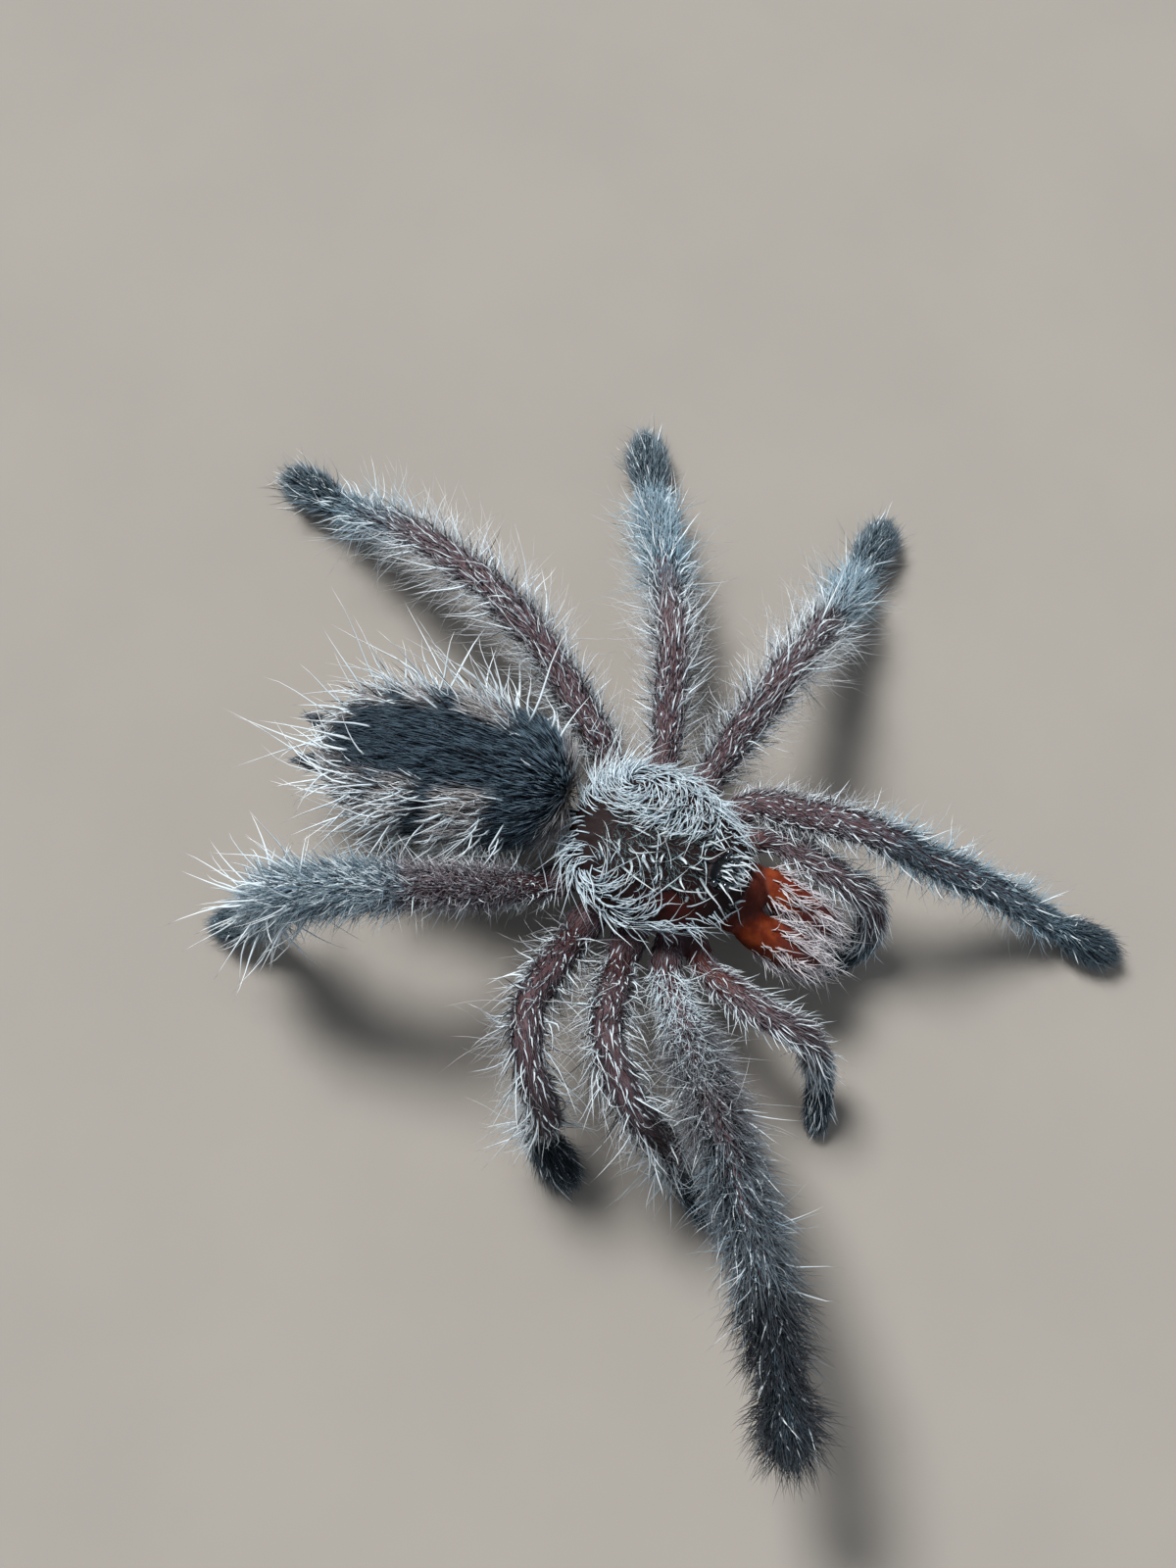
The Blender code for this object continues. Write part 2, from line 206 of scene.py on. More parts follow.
def joined(name: str, surfaces: list[Surface]) -> bpy.types.Mesh:
    """One mesh of several closed surfaces.

    Args:
        name: The mesh's name.
        surfaces: The surfaces.

    Returns:
        The mesh.
    """
    faces: Faces = []
    count = 0
    for verts, own_faces in (surface.shell for surface in surfaces):
        faces += [tuple(index + count for index in face) for face in own_faces]
        count += len(verts)
    mesh = bpy.data.meshes.new(name)
    mesh.from_pydata(np.concatenate([surface.shell[0] for surface in surfaces]).tolist(), [], faces)
    return mesh


def keep(mesh: bpy.types.Mesh, name: str, values: Array, kind: str = "FLOAT", domain: str = "POINT") -> None:
    """Keep values on a mesh as a named attribute."""
    attribute = mesh.attributes.new(name, kind, domain)
    attribute.data.foreach_set("value" if kind == "FLOAT" else "vector", values.astype(np.float32).ravel())


def ring_turns(count: int) -> tuple[Array, Array]:
    """Angles round a ring, from 0 up, and the same between -pi and pi."""
    turn = np.linspace(0.0, TAU, count, endpoint=False)
    return turn, np.where(turn > math.pi, turn - TAU, turn)


def ball_grid(rings: int, around: int) -> tuple[Array, Array, Array]:
    """Unit directions over a ball with its poles on Y.

    Args:
        rings: Rings from the front pole to the rear one.
        around: Points in each ring.

    Returns:
        The directions, the share along from -1 to 1, and the turn from the top towards the animal's left.
    """
    lean = np.linspace(0.02, math.pi - 0.02, rings)[:, None] + np.zeros((1, around))
    turn = ring_turns(around)[1][None, :] + np.zeros((rings, 1))
    along = -np.cos(lean)
    return vectors(np.sin(lean) * np.sin(turn), along, np.sin(lean) * np.cos(turn)), along, turn


def full_girth(along: Array, power: float) -> Array:
    """Radius of a blunt body at a share of its half length, against a sphere's at the same place."""
    sphere = np.sqrt(np.maximum(1e-6, 1.0 - along * along))
    return np.maximum(0.0, 1.0 - np.abs(along) ** power) ** (1.0 / power) / sphere


def oval(name: str, region: Region, centre: Triple, half: Triple, masks: dict[str, float],
         rings: int = 24) -> Surface:
    """A plain ellipsoid, the same mask values all over it."""
    units, along, turn = ball_grid(rings, 28)
    return Surface(name, region, 0.0, np.array(centre) + units * np.array(half), along, turn, masks)


def tube(line: Array, radii: Array, upper: Array, beside: Array, turn: Array) -> Array:
    """Rings of points round a line.

    Args:
        line: The middle line.
        radii: The radius of each ring.
        upper: Each ring's way at turn 0.
        beside: Each ring's way at a quarter turn.
        turn: The angles round a ring.

    Returns:
        The points, ring by ring.
    """
    spoke = np.cos(turn)[None, :, None] * upper[:, None, :] + np.sin(turn)[None, :, None] * beside[:, None, :]
    return line[:, None, :] + spoke * radii[:, None, None]


# Anatomy

@dataclass
class Carapace:
    """The head shield, its furrows and the eye mound on it."""

    centre: Triple = (0.0, -0.15, 6.5)
    half: Triple = (4.12, 4.55, 2.02)
    under: float = 0.35
    fovea: tuple[float, float] = (-0.1, 1.7)
    furrow_depth: float = 0.16
    furrow_width: float = 0.3
    furrow_angles: tuple[float, ...] = (-62.0, -28.0, 8.0, 44.0, 76.0)
    furrow_span: tuple[float, float] = (0.8, 4.2)
    pit_depth: float = 0.35
    pit_half: tuple[float, float] = (0.62, 0.34)
    turret_centre: Triple = (0.0, -3.4, 8.66)
    turret_half: Triple = (0.98, 0.62, 0.6)
    bare_centre: Triple = (-2.5, -2.2, 7.9)
    bare_half: Triple = (1.25, 1.5, 1.2)
    whorl: tuple[float, float] = (2.35, 2.45)
    grid: tuple[int, int] = (64, 96)
    bluntness: float = 2.5

    def furrows(self, points: Array) -> Array:
        """Depth of the furrows that run out from the fovea, at points on the shield.

        Args:
            points: Positions on the shield.

        Returns:
            The depth at each of them, in millimetres.
        """
        x, y = parts(points[..., :2] - np.array(self.fovea))
        apart = np.hypot(x, y)
        bearing = np.degrees(np.arctan2(y, np.abs(x)))
        depth = np.zeros(apart.shape)
        for angle in self.furrow_angles:
            aside = apart * np.sin(np.radians(np.clip(bearing - angle, -80.0, 80.0)))
            depth = np.maximum(depth, np.exp(-((aside / self.furrow_width) ** 2)))
        low, high = self.furrow_span
        depth *= ease(0.2, low, apart) * ease(high + 0.8, high, apart) * self.furrow_depth
        pit = np.exp(-((x / self.pit_half[0]) ** 2) - ((y / self.pit_half[1]) ** 2)) * self.pit_depth
        return np.maximum(depth, pit)

    def shield(self) -> Surface:
        """The shield's surface: low behind, high at the head, almost flat beneath.

        Returns:
            The closed surface, with masks for its bare patch and its front edge.
        """
        units, along, turn = ball_grid(*self.grid)
        girth = full_girth(along, self.bluntness)
        head, rear = ease(0.15, -0.75, along), ease(0.15, 1.0, along)
        half_x, half_y, high = self.half
        across, length, up = parts(units)
        rise = np.where(up > 0.0, high * (1.0 + 0.05 * head - 0.35 * rear), self.under)
        width = across * girth * half_x * (1.0 - 0.16 * head - 0.1 * rear)
        points = vectors(width, length * half_y, up * girth * rise) + np.array(self.centre)
        x, y, z = parts(points)
        head_swell = 0.16 * bump(-2.6, 2.6, y) * bump(0.0, 2.4, x)
        z += ease(0.05, 0.5, up) * (head_swell - self.furrows(points))
        bare = np.linalg.norm((points - np.array(self.bare_centre)) / np.array(self.bare_half), axis=-1)
        masks = {"warm": 0.85 * ease(1.2, 0.35, bare + 0.15 * ripple(points, 1.4, 2.0)),
                 "front": ease(-3.4, -4.6, y), "shield": 1.0}
        return Surface("carapace", Region.CARAPACE, 0.0, points, along, turn, masks)

    def turret(self) -> Surface:
        """The eye mound."""
        return oval("turret", Region.TURRET, self.turret_centre, self.turret_half, {"turret": 1.0}, 20)


@dataclass
class Abdomen:
    """The abdomen, which turns to the animal's right and droops at the tail."""

    centre: Triple = (-0.75, 10.7, 6.1)
    half: Triple = (3.55, 5.75, 3.25)
    tail: float = 6.15
    turn_degrees: float = 12.0
    droop_degrees: float = 12.0
    spinneret_radius: float = 0.36
    spinneret: tuple[Triple, ...] = ((0.72, 5.3, -0.7), (0.95, 6.6, -0.38), (1.14, 7.75, -0.18))
    bars: tuple[Triple, ...] = ((-0.76, 0.24, 2.4), (-0.02, 0.13, 1.85), (0.44, 0.08, 1.15),
                                (0.74, 0.07, 0.9))
    grid: tuple[int, int] = (72, 80)
    bluntness: tuple[float, float] = (2.9, 2.2)

    def matrix(self) -> Matrix:
        """The abdomen's own frame.

        Returns:
            The abdomen's turn and place.
        """
        turn = Matrix.Rotation(math.radians(self.turn_degrees), 4, "Z")
        droop = Matrix.Rotation(math.radians(-self.droop_degrees), 4, "X")
        return Matrix.Translation(self.centre) @ turn @ droop

    def dark(self, along: Array, turn: Array, points: Array) -> Array:
        """Share of the dark velvet: a band along the back with bars down each side.

        Args:
            along: Share along, from -1 at the waist to 1 at the tail.
            turn: Angle from the top, in radians.
            points: Positions, for the ragged edge.

        Returns:
            1 in the dark band and bars, 0 in the pale patches.
        """
        ragged = 0.07 * ripple(points, 1.1, 5.0) + 0.05 * ripple(points, 0.5, 9.0)
        side = np.abs(turn) + ragged
        band = 0.52 + 0.06 * ease(0.0, 0.5, along) - 0.25 * ease(0.55, 0.98, along)
        shade = ease(band + 0.1, band - 0.08, side)
        slant = along - 0.1 * (side - 0.7) + 0.6 * ragged
        for place, half, reach in self.bars:
            bar = ease(half + 0.06, half - 0.05, np.abs(slant - place))
            shade = np.maximum(shade, bar * ease(reach + 0.25, reach - 0.2, side))
        return shade

    def sac(self) -> Surface:
        """The abdomen's surface: an egg, blunter and wider towards the tail.

        Returns:
            The closed surface, with a mask for its dark markings.
        """
        units, along, turn = ball_grid(*self.grid)
        half_x, half_y, half_z = self.half
        x, y, z = parts(units)
        girth = np.where(along < 0.0, *(full_girth(along, power) for power in self.bluntness))
        local = vectors(x * half_x * (1.0 + 0.06 * along) * girth, y * np.where(y > 0.0, self.tail, half_y),
                        z * half_z * girth)
        points = local @ np.array(self.matrix().to_3x3()).T + np.array(self.centre)
        masks = {"abdomen": 1.0, "dark": self.dark(along, turn, points)}
        return Surface("abdomen", Region.ABDOMEN, 0.0, points, along, turn, masks)


LEG_SKIN: Table = ((0.0, 0.8), (0.6, 0.88), (0.88, 0.68), (1.0, 0.66), (1.12, 0.72), (1.5, 0.78),
                   (1.85, 0.74), (2.0, 0.66), (2.15, 0.7), (2.5, 0.75), (2.9, 0.68), (3.0, 0.61),
                   (3.12, 0.65), (3.5, 0.7), (3.85, 0.65), (4.0, 0.59), (4.1, 0.62), (4.5, 0.65),
                   (4.9, 0.58), (5.0, 0.52), (5.15, 0.58), (5.5, 0.72), (5.8, 0.74), (5.92, 0.7),
                   (6.0, 0.6))
PALP_SKIN: Table = ((0.0, 0.62), (0.6, 0.68), (0.9, 0.58), (1.0, 0.56), (1.5, 0.66), (1.9, 0.62), (2.0, 0.56),
                    (2.15, 0.6), (2.5, 0.64), (3.0, 0.56), (3.2, 0.6), (3.5, 0.64), (3.9, 0.58), (4.0, 0.54),
                    (4.4, 0.6), (4.8, 0.56), (5.0, 0.48))


@dataclass
class Limb:
    """One leg or palp: its rounded middle line and the surface round it."""

    side: float
    name: str
    across: float
    along: float
    lengths: tuple[float, ...]
    pose: Table
    blue_from: float = 0.6
    hip_height: float = 5.0
    sole_height: float = 0.88
    palp_height: float = 0.66
    bend_radius: float = 2.3
    bend_steps: int = 8
    coxa_start: tuple[float, float] = (1.35, 0.72)
    coxa_drop: float = 0.4
    sternum: tuple[float, float] = (1.85, 3.3)
    around: int = 24
    pitch: float = 0.22
    thinnest: float = 0.3
    room: float = 0.06
    cap_degrees: tuple[float, ...] = (22.0, 42.0, 60.0, 76.0)

    def __post_init__(self) -> None:
        """Tell a palp from a leg, and the raised leg from the others."""
        self.is_palp = self.name == "palp"
        self.label = ("left_" if self.side > 0.0 else "right_") + self.name
        self.raised = self.label == "right_leg_1"

    def joints(self) -> list[Vector]:
        """Coxa, hip, knee and the further joints of the limb, down to the toe.

        Returns:
            Their positions.
        """
        rim, gather = self.coxa_start
        inner = self.along * gather
        bulge = math.sqrt(max(0.05, 1.0 - (inner / (self.sternum[1] + rim)) ** 2))
        start = (self.side * (self.sternum[0] + rim) * bulge, inner, self.hip_height - self.coxa_drop)
        joints = [Vector(start), Vector((self.side * self.across, self.along, self.hip_height))]
        for length, (heading, slope) in zip(self.lengths, self.pose):
            turn, rise = math.radians(heading), math.radians(slope)
            way = Vector((math.cos(turn) * math.cos(rise), math.sin(turn) * math.cos(rise), math.sin(rise)))
            joints.append(joints[-1] + way * length)
        if not self.raised:
            error = joints[-1].z - (self.palp_height if self.is_palp else self.sole_height)
            for step, joint in enumerate(joints[2:], start=1):
                joint.z -= error * step / (len(joints) - 2)
        return joints

    def path(self) -> tuple[Array, Array]:
        """Places and points along the joints, with each bend rounded off.

        Returns:
            The places, counted in joints from the coxa, and the points.
        """
        joints = self.joints()
        samples = [(0.0, joints[0])]
        for index in range(1, len(joints) - 1):
            before, joint, after = joints[index - 1], joints[index], joints[index + 1]
            back, ahead = (before - joint).normalized(), (after - joint).normalized()
            half_turn = 0.5 * (math.pi - back.angle(ahead))
            reach = self.bend_radius * math.tan(half_turn)
            reach = min(reach, 0.47 * (before - joint).length, 0.47 * (after - joint).length)
            share_back, share_ahead = reach / (before - joint).length, reach / (after - joint).length
            centre = joint + (back + ahead).normalized() * (reach / math.sin(half_turn))
            start, end = joint + back * reach - centre, joint + ahead * reach - centre
            for step in range(self.bend_steps + 1):
                share = step / self.bend_steps
                place = index + (share_back if share < 0.5 else share_ahead) * (2.0 * share - 1.0)
                samples.append((place, centre + start.slerp(end, share) * start.length))
        samples.append((float(len(joints) - 1), joints[-1]))
        return np.array([place for place, _ in samples]), np.array([tuple(point) for _, point in samples])

    def spine(self) -> tuple[Array, Array]:
        """The place and the middle point of each ring, at an even pitch along the limb.

        Returns:
            The places, counted in joints from the coxa, and the points.
        """
        places, points = self.path()
        run = np.concatenate([[0.0], np.cumsum(np.linalg.norm(np.diff(points, axis=0), axis=1))])
        even = np.linspace(0.0, run[-1], int(run[-1] / self.pitch) + 1)
        line = vectors(*(np.interp(even, run, row) for row in parts(points)))
        for _ in range(2):
            line[1:-1] = 0.25 * line[:-2] + 0.5 * line[1:-1] + 0.25 * line[2:]
        return np.interp(even, run, places), line

    def surface(self, cloud: Array) -> Surface:
        """The limb's skin surface.

        Args:
            cloud: Points on the middle lines of all the other limbs, which this one makes room for.

        Returns:
            A closed tube with a rounded toe, its turn measured from the limb's upper side.
        """
        places, line = self.spine()
        ahead = unit_rows(np.gradient(line, axis=0))
        normal = np.array([0.0, 0.0, 1.0])
        upper = np.empty(line.shape)
        for ring, way in enumerate(ahead):
            normal = normal - way * float(normal @ way)
            upper[ring] = normal = normal / np.linalg.norm(normal)
        beside = np.cross(ahead, upper) * self.side
        apart = np.min(np.linalg.norm(line[:, None, :] - cloud[None, :, :], axis=2), axis=1)
        radii = np.interp(places, *zip(*(PALP_SKIN if self.is_palp else LEG_SKIN)))
        radii = np.minimum(radii, np.maximum(self.thinnest, 0.5 * apart - self.room))
        cap = np.radians(np.array(self.cap_degrees))
        tip, tip_radius = line[-1], radii[-1]
        line = np.concatenate([line, tip + np.outer(np.sin(cap) * tip_radius, ahead[-1])])
        radii = np.concatenate([radii, tip_radius * np.cos(cap)])
        places = np.concatenate([places, places[-1] + 0.1 * np.sin(cap)])
        upper, beside = (np.concatenate([rows, np.repeat(rows[-1:], len(cap), axis=0)])
                         for rows in (upper, beside))
        full_turn, turn = ring_turns(self.around)
        points = tube(line, radii, upper, beside, full_turn)
        place = places[:, None] + np.zeros((1, self.around))
        region = Region.PALP if self.is_palp else Region.LEG
        return Surface(self.label, region, self.side, points, place, turn[None, :] + np.zeros(place.shape),
                       self.markings(points, place))

    def markings(self, points: Array, place: Array) -> dict[str, Array]:
        """The masks of the dark toe, the warm hip, the palp's jaw colour, and the blue that ends in dusk.

        Args:
            points: Positions on the limb's skin.
            place: Their places along it, counted in joints.

        Returns:
            The masks by name.
        """
        last = len(self.lengths) + 1.0
        toe = ease(last - 2.1, last - 0.9, place + 0.12 * ripple(points, 2.0, 1.0))
        warm = 0.3 * ease(1.35, 0.95, place)
        if self.side < 0.0:
            warm = 0.7 * bump(1.05, 0.85, place) if self.is_palp else 0.75 * bump(1.05, 0.55, place)
        blue_end = (self.blue_from + 0.24) * last
        blue = 0.5 * ease(self.blue_from * last, blue_end, place + 0.25 * ripple(points, 2.6, 6.0))
        dusk_start = last - (2.1 if self.raised else 1.05)
        dusk = 0.5 * ease(dusk_start, dusk_start + 0.5, place + 0.1 * ripple(points, 1.4, 2.0))
        return {"toe": toe, "warm": warm, "jaw": 0.45 * warm * self.is_palp, "tone": blue + dusk}


@dataclass
class Spider:
    """The whole animal: every surface that the skin and the coat are made from."""

    carapace: Carapace = field(default_factory=Carapace)
    abdomen: Abdomen = field(default_factory=Abdomen)
    hips: dict[str, tuple[float, float]] = field(default_factory=lambda: {
        "palp": (3.9, -4.7), "leg_1": (5.1, -3.2), "leg_2": (5.65, -0.9), "leg_3": (5.5, 1.75),
        "leg_4": (3.9, 4.3)})
    lengths: dict[str, tuple[float, ...]] = field(default_factory=lambda: {
        "palp": (4.6, 2.7, 3.5, 3.0), "leg_1": (6.9, 3.8, 5.3, 4.8, 3.1), "leg_2": (6.2, 3.4, 4.6, 4.4, 3.0),
        "leg_3": (5.4, 3.1, 4.0, 4.4, 3.0), "leg_4": (6.8, 3.4, 5.4, 5.8, 3.2)})
    left_pose: dict[str, Table] = field(default_factory=lambda: {
        "palp": ((-100, 17), (-78, -43), (-140, -59), (139, -11)),
        "leg_1": ((-89, 35), (-77, -34), (-75, -32), (-81, -31), (-87, -12)),
        "leg_2": ((-10, 35), (-11, -38), (-12, -36), (-5, -34), (-5, -7)),
        "leg_3": ((24, 17), (25, -30), (25, -28), (30, -26), (30, -7)),
        "leg_4": ((62, 19), (69, 4), (72, -21), (79, -37), (80, -20))})
    right_pose: dict[str, Table] = field(default_factory=lambda: {
        "palp": ((-109, 31), (-77, -34), (-108, -58), (-150, -42)),
        "leg_1": ((-141, 28), (-142, 26), (-143, 18), (-143, -8), (-144, -12)),
        "leg_2": ((188, 44), (226, 0), (266, -54), (258, -70), (256, -20)),
        "leg_3": ((173, 34), (200, 20), (236, -42), (252, -98), (247, -30)),
        "leg_4": ((128, 38), (123, 24), (117, -20), (118, -95), (109, -43))})
    blue_from: dict[str, float] = field(default_factory=lambda: {
        "left_leg_1": 0.24, "left_leg_2": 0.52, "left_leg_3": 0.4, "right_leg_1": 0.34, "right_leg_4": 0.36})
    jaw_centre: Triple = (0.2, -7.35, 4.85)
    jaw_spread: float = 1.12
    jaw_half: Triple = (0.98, 2.6, 1.32)
    jaw_droop: float = 22.0
    jaw_toe_in: float = 4.0
    jaw_grid: tuple[int, int] = (40, 40)
    jaw_bluntness: float = 2.6
    pipe_grid: tuple[int, int] = (20, 20)
    waist: tuple[Triple, ...] = ((0.0, 2.6, 4.7), (0.0, 3.6, 4.75), (-0.1, 5.2, 5.3), (-0.2, 6.2, 5.6))
    waist_radii: tuple[float, ...] = (0.6, 0.52, 0.56, 0.6)
    ovals: dict[str, tuple[Triple, Triple, dict[str, float]]] = field(default_factory=lambda: {
        "sternum": ((0.0, -0.3, 4.45), (1.8, 3.2, 1.15), {}),
        "flank": ((0.0, -0.35, 5.55), (3.7, 4.1, 1.15), {"warm": 0.25}),
        "face": ((0.12, -4.85, 5.75), (1.95, 1.15, 1.05), {"jaw": 0.3, "warm": 0.9})})

    def limbs(self) -> list[Limb]:
        """The eight legs and two palps.

        Returns:
            The limbs, the left side's first.
        """
        sides = ((1.0, self.left_pose), (-1.0, self.right_pose))
        made = [Limb(side, name, *self.hips[name], self.lengths[name], pose)
                for side, poses in sides for name, pose in poses.items()]
        for limb in made:
            limb.blue_from = self.blue_from.get(limb.label, limb.blue_from)
        return made

    def jaw_matrix(self, side: float) -> Matrix:
        """One jaw's own frame: drooping at the front and turned a little to the middle.

        Args:
            side: 1 for the animal's left, -1 for its right.

        Returns:
            The jaw's turn and place.
        """
        spread = Vector((side * self.jaw_spread, 0.0, 0.0))
        toe_in = Matrix.Rotation(math.radians(-side * self.jaw_toe_in), 4, "Z")
        droop = Matrix.Rotation(math.radians(self.jaw_droop), 4, "X")
        return Matrix.Translation(Vector(self.jaw_centre) + spread) @ toe_in @ droop

    def jaw(self, word: str, side: float) -> Surface:
        """One jaw's basal segment: a blunt, deep-chested oval.

        Args:
            word: The side, in words.
            side: 1 for the animal's left, -1 for its right.

        Returns:
            The closed surface.
        """
        units, along, turn = ball_grid(*self.jaw_grid)
        x, y, z = parts(units)
        half_x, half_y, half_z = self.jaw_half
        girth = full_girth(along, self.jaw_bluntness)
        chest = 1.0 - 0.22 * ease(0.1, 1.0, along)
        matrix = self.jaw_matrix(side)
        local = vectors(x * half_x * girth, y * half_y, z * half_z * girth * chest)
        points = local @ np.array(matrix.to_3x3()).T + np.array(matrix.translation)
        front = ease(0.35, -0.45, along + 0.2 * ripple(points, 1.6, 3.0))
        return Surface("jaw_" + word, Region.JAW, side, points, 1.0 - (along + 1.0) / 2.0, turn,
                       {"jaw": 1.0, "jaw_end": 0.85 * front})

    def pipe(self, name: str, region: Region, line: Array, radii: Array, side: float = 0.0) -> Surface:
        """A short tube through a few points, such as the waist or a spinneret.

        Args:
            name: What it is.
            region: The part of the animal that it belongs to.
            line: Its middle line, from root to tip.
            radii: Its radius at each of those points.
            side: 1 for the animal's left, -1 for its right, 0 for the middle.

        Returns:
            The closed surface.
        """
        steps = np.linspace(0.0, len(line) - 1.0, self.pipe_grid[0])
        places = np.arange(len(line), dtype=float)
        middle = vectors(*(np.interp(steps, places, row) for row in parts(line)))
        blunt = np.sqrt(np.clip(1.02 - (steps / steps[-1]) ** 6, 0.02, 1.0))
        radius = np.interp(steps, places, radii) * blunt
        way = unit_rows(np.gradient(middle, axis=0))
        beside = unit_rows(np.cross(way, np.array([0.0, 0.0, 1.0])))
        full_turn, turn = ring_turns(self.pipe_grid[1])
        points = tube(middle, radius, np.cross(beside, way), beside, full_turn)
        share = (steps / steps[-1])[:, None] + np.zeros((1, len(turn)))
        return Surface(name, region, side, points, share, turn[None, :] + np.zeros(share.shape))

    def spinnerets(self) -> list[Surface]:
        """The two spinnerets under the tail.

        Returns:
            Their closed surfaces.
        """
        matrix = self.abdomen.matrix()
        radii = self.abdomen.spinneret_radius * np.array([1.0, 0.9, 0.6])
        made = []
        for word, side in SIDES:
            line = np.array([tuple(matrix @ Vector((side * x, y, z))) for x, y, z in self.abdomen.spinneret])
            made.append(self.pipe("spinneret_" + word, Region.SPINNERET, line, radii, side))
        return made

    def surfaces(self) -> list[Surface]:
        """Every surface of the flesh.

        Returns:
            The closed surfaces, which overlap.
        """
        limbs = self.limbs()
        lines = [limb.spine()[1] for limb in limbs]
        made = [self.carapace.shield(), self.carapace.turret(), self.abdomen.sac()]
        made += [self.jaw(*side) for side in SIDES] + self.spinnerets()
        made.append(self.pipe("waist", Region.UNDER, np.array(self.waist), np.array(self.waist_radii)))
        made += [oval(name, Region.UNDER, *sizes) for name, sizes in self.ovals.items()]
        for index, limb in enumerate(limbs):
            made.append(limb.surface(np.concatenate(lines[:index] + lines[index + 1:])))
        return made


# Finishes

class Nodes:
    """A short way to write a node tree."""

    def __init__(self, tree: bpy.types.NodeTree) -> None:
        """Start writing into a tree."""
        self.tree = tree

    @staticmethod
    def shown(node: bpy.types.Node, name: str) -> Socket:
        """The input of that name that the node's settings leave in use."""
        return next(socket for socket in node.inputs if socket.name == name and socket.enabled)

    def feed(self, node: bpy.types.Node, feeds: Feeds) -> None:
        """Link a socket to, or set a value on, each named or numbered input of a node.

        Args:
            node: The node.
            feeds: Socket name or number, and the socket or value that feeds it.
        """
        for key, value in feeds.items():
            socket = node.inputs[key] if isinstance(key, int) else self.shown(node, key)
            if isinstance(value, Socket):
                self.tree.links.new(value, socket)
            else:
                socket.default_value = (*value, 1.0) if socket.type == "RGBA" else value

    def add(self, kind: str, feeds: Feeds | None = None, **settings: object) -> bpy.types.Node:
        """Add a node.

        Args:
            kind: Blender's name of the node type.
            feeds: Socket name or number, and the socket or value that feeds it.
            **settings: The node's own settings.

        Returns:
            The node.
        """
        node = self.tree.nodes.new(kind)
        for name, value in settings.items():
            setattr(node, name, value)
        self.feed(node, feeds or {})
        return node

    def math(self, action: str, *values: object) -> Socket:
        """One number worked out from others."""
        return self.add("ShaderNodeMath", dict(enumerate(values)), operation=action).outputs[0]

    def times(self, first: object, second: object) -> Socket:
        """Two numbers multiplied."""
        return self.math("MULTIPLY", first, second)

    def vector(self, action: str, first: object, *others: object) -> Socket:
        """One vector worked out from others."""
        others = {3: others[0]} if action == "SCALE" else dict(enumerate(others, start=1))
        return self.add("ShaderNodeVectorMath", {0: first, **others}, operation=action).outputs["Vector"]

    def combine(self, *values: object) -> Socket:
        """A vector from its x, y and z."""
        return self.add("ShaderNodeCombineXYZ", dict(enumerate(values))).outputs[0]

    def mask(self, name: str) -> Socket:
        """A number stored on the mesh."""
        return self.add("ShaderNodeAttribute", attribute_name=name).outputs["Fac"]

    def mix(self, share: object, first: object, second: object) -> Socket:
        """A colour between two, by a share."""
        return self.add("ShaderNodeMix", {0: share, 6: first, 7: second}, data_type="RGBA",
                        clamp_factor=True).outputs[2]

    def ease(self, value: object, low: float, high: float) -> Socket:
        """A share from 0 at low to 1 at high."""
        return self.add("ShaderNodeMapRange", {0: value, 1: low, 2: high, 3: 0.0, 4: 1.0},
                        interpolation_type="SMOOTHSTEP").outputs[0]

    def noise(self, pitch: float, detail: float) -> Socket:
        """Noise with crests about pitch millimetres apart.

        Args:
            pitch: Distance between two crests, in millimetres.
            detail: How many finer layers it has.

        Returns:
            The noise, from 0 to 1.
        """
        where = self.add("ShaderNodeTexCoord").outputs["Object"]
        return self.add("ShaderNodeTexNoise", {"Vector": where, "Scale": 1.0 / (pitch * MILLIMETRE),
                                               "Detail": detail, "Roughness": 0.55}).outputs[0]


def shade_group(name: str, inputs: tuple[str, ...], outputs: tuple[str, ...]) -> bpy.types.NodeTree:
    """Start a shader node group.

    Args:
        name: The group's name.
        inputs: Its inputs, which are colours, and last a number.
        outputs: Its outputs, which are a colour, and then numbers.

    Returns:
        The group, with a group input node in it.
    """
    tree = bpy.data.node_groups.new(name, "ShaderNodeTree")
    for label in inputs:
        kind = "NodeSocketFloat" if label == inputs[-1] else "NodeSocketColor"
        tree.interface.new_socket(name=label, in_out="INPUT", socket_type=kind)
    for label in outputs:
        kind = "NodeSocketColor" if label == outputs[0] else "NodeSocketFloat"
        tree.interface.new_socket(name=label, in_out="OUTPUT", socket_type=kind)
    tree.nodes.new("NodeGroupInput")
    return tree


@cache
def mottle() -> bpy.types.NodeTree:
    """Uneven colour and a fine pebbled relief, as on bare cuticle; built once.

    Returns:
        The node group.
    """
    tree = shade_group("mottled_cuticle", ("Colour", "Pale", "Amount"), ("Colour", "Height", "Roughness"))
    nodes, given = Nodes(tree), tree.nodes["Group Input"].outputs
    broad, fine = nodes.noise(0.9, 3.0), nodes.noise(0.12, 3.0)
    share = nodes.times(nodes.ease(broad, 0.4, 0.68), given["Amount"])
    height = nodes.math("ADD", nodes.times(fine, 0.7), nodes.times(broad, 0.6))
    nodes.add("NodeGroupOutput", {"Colour": nodes.mix(share, given["Colour"], given["Pale"]),
                                  "Height": height, "Roughness": nodes.math("MULTIPLY_ADD", fine, 0.3, 0.42)})
    return tree


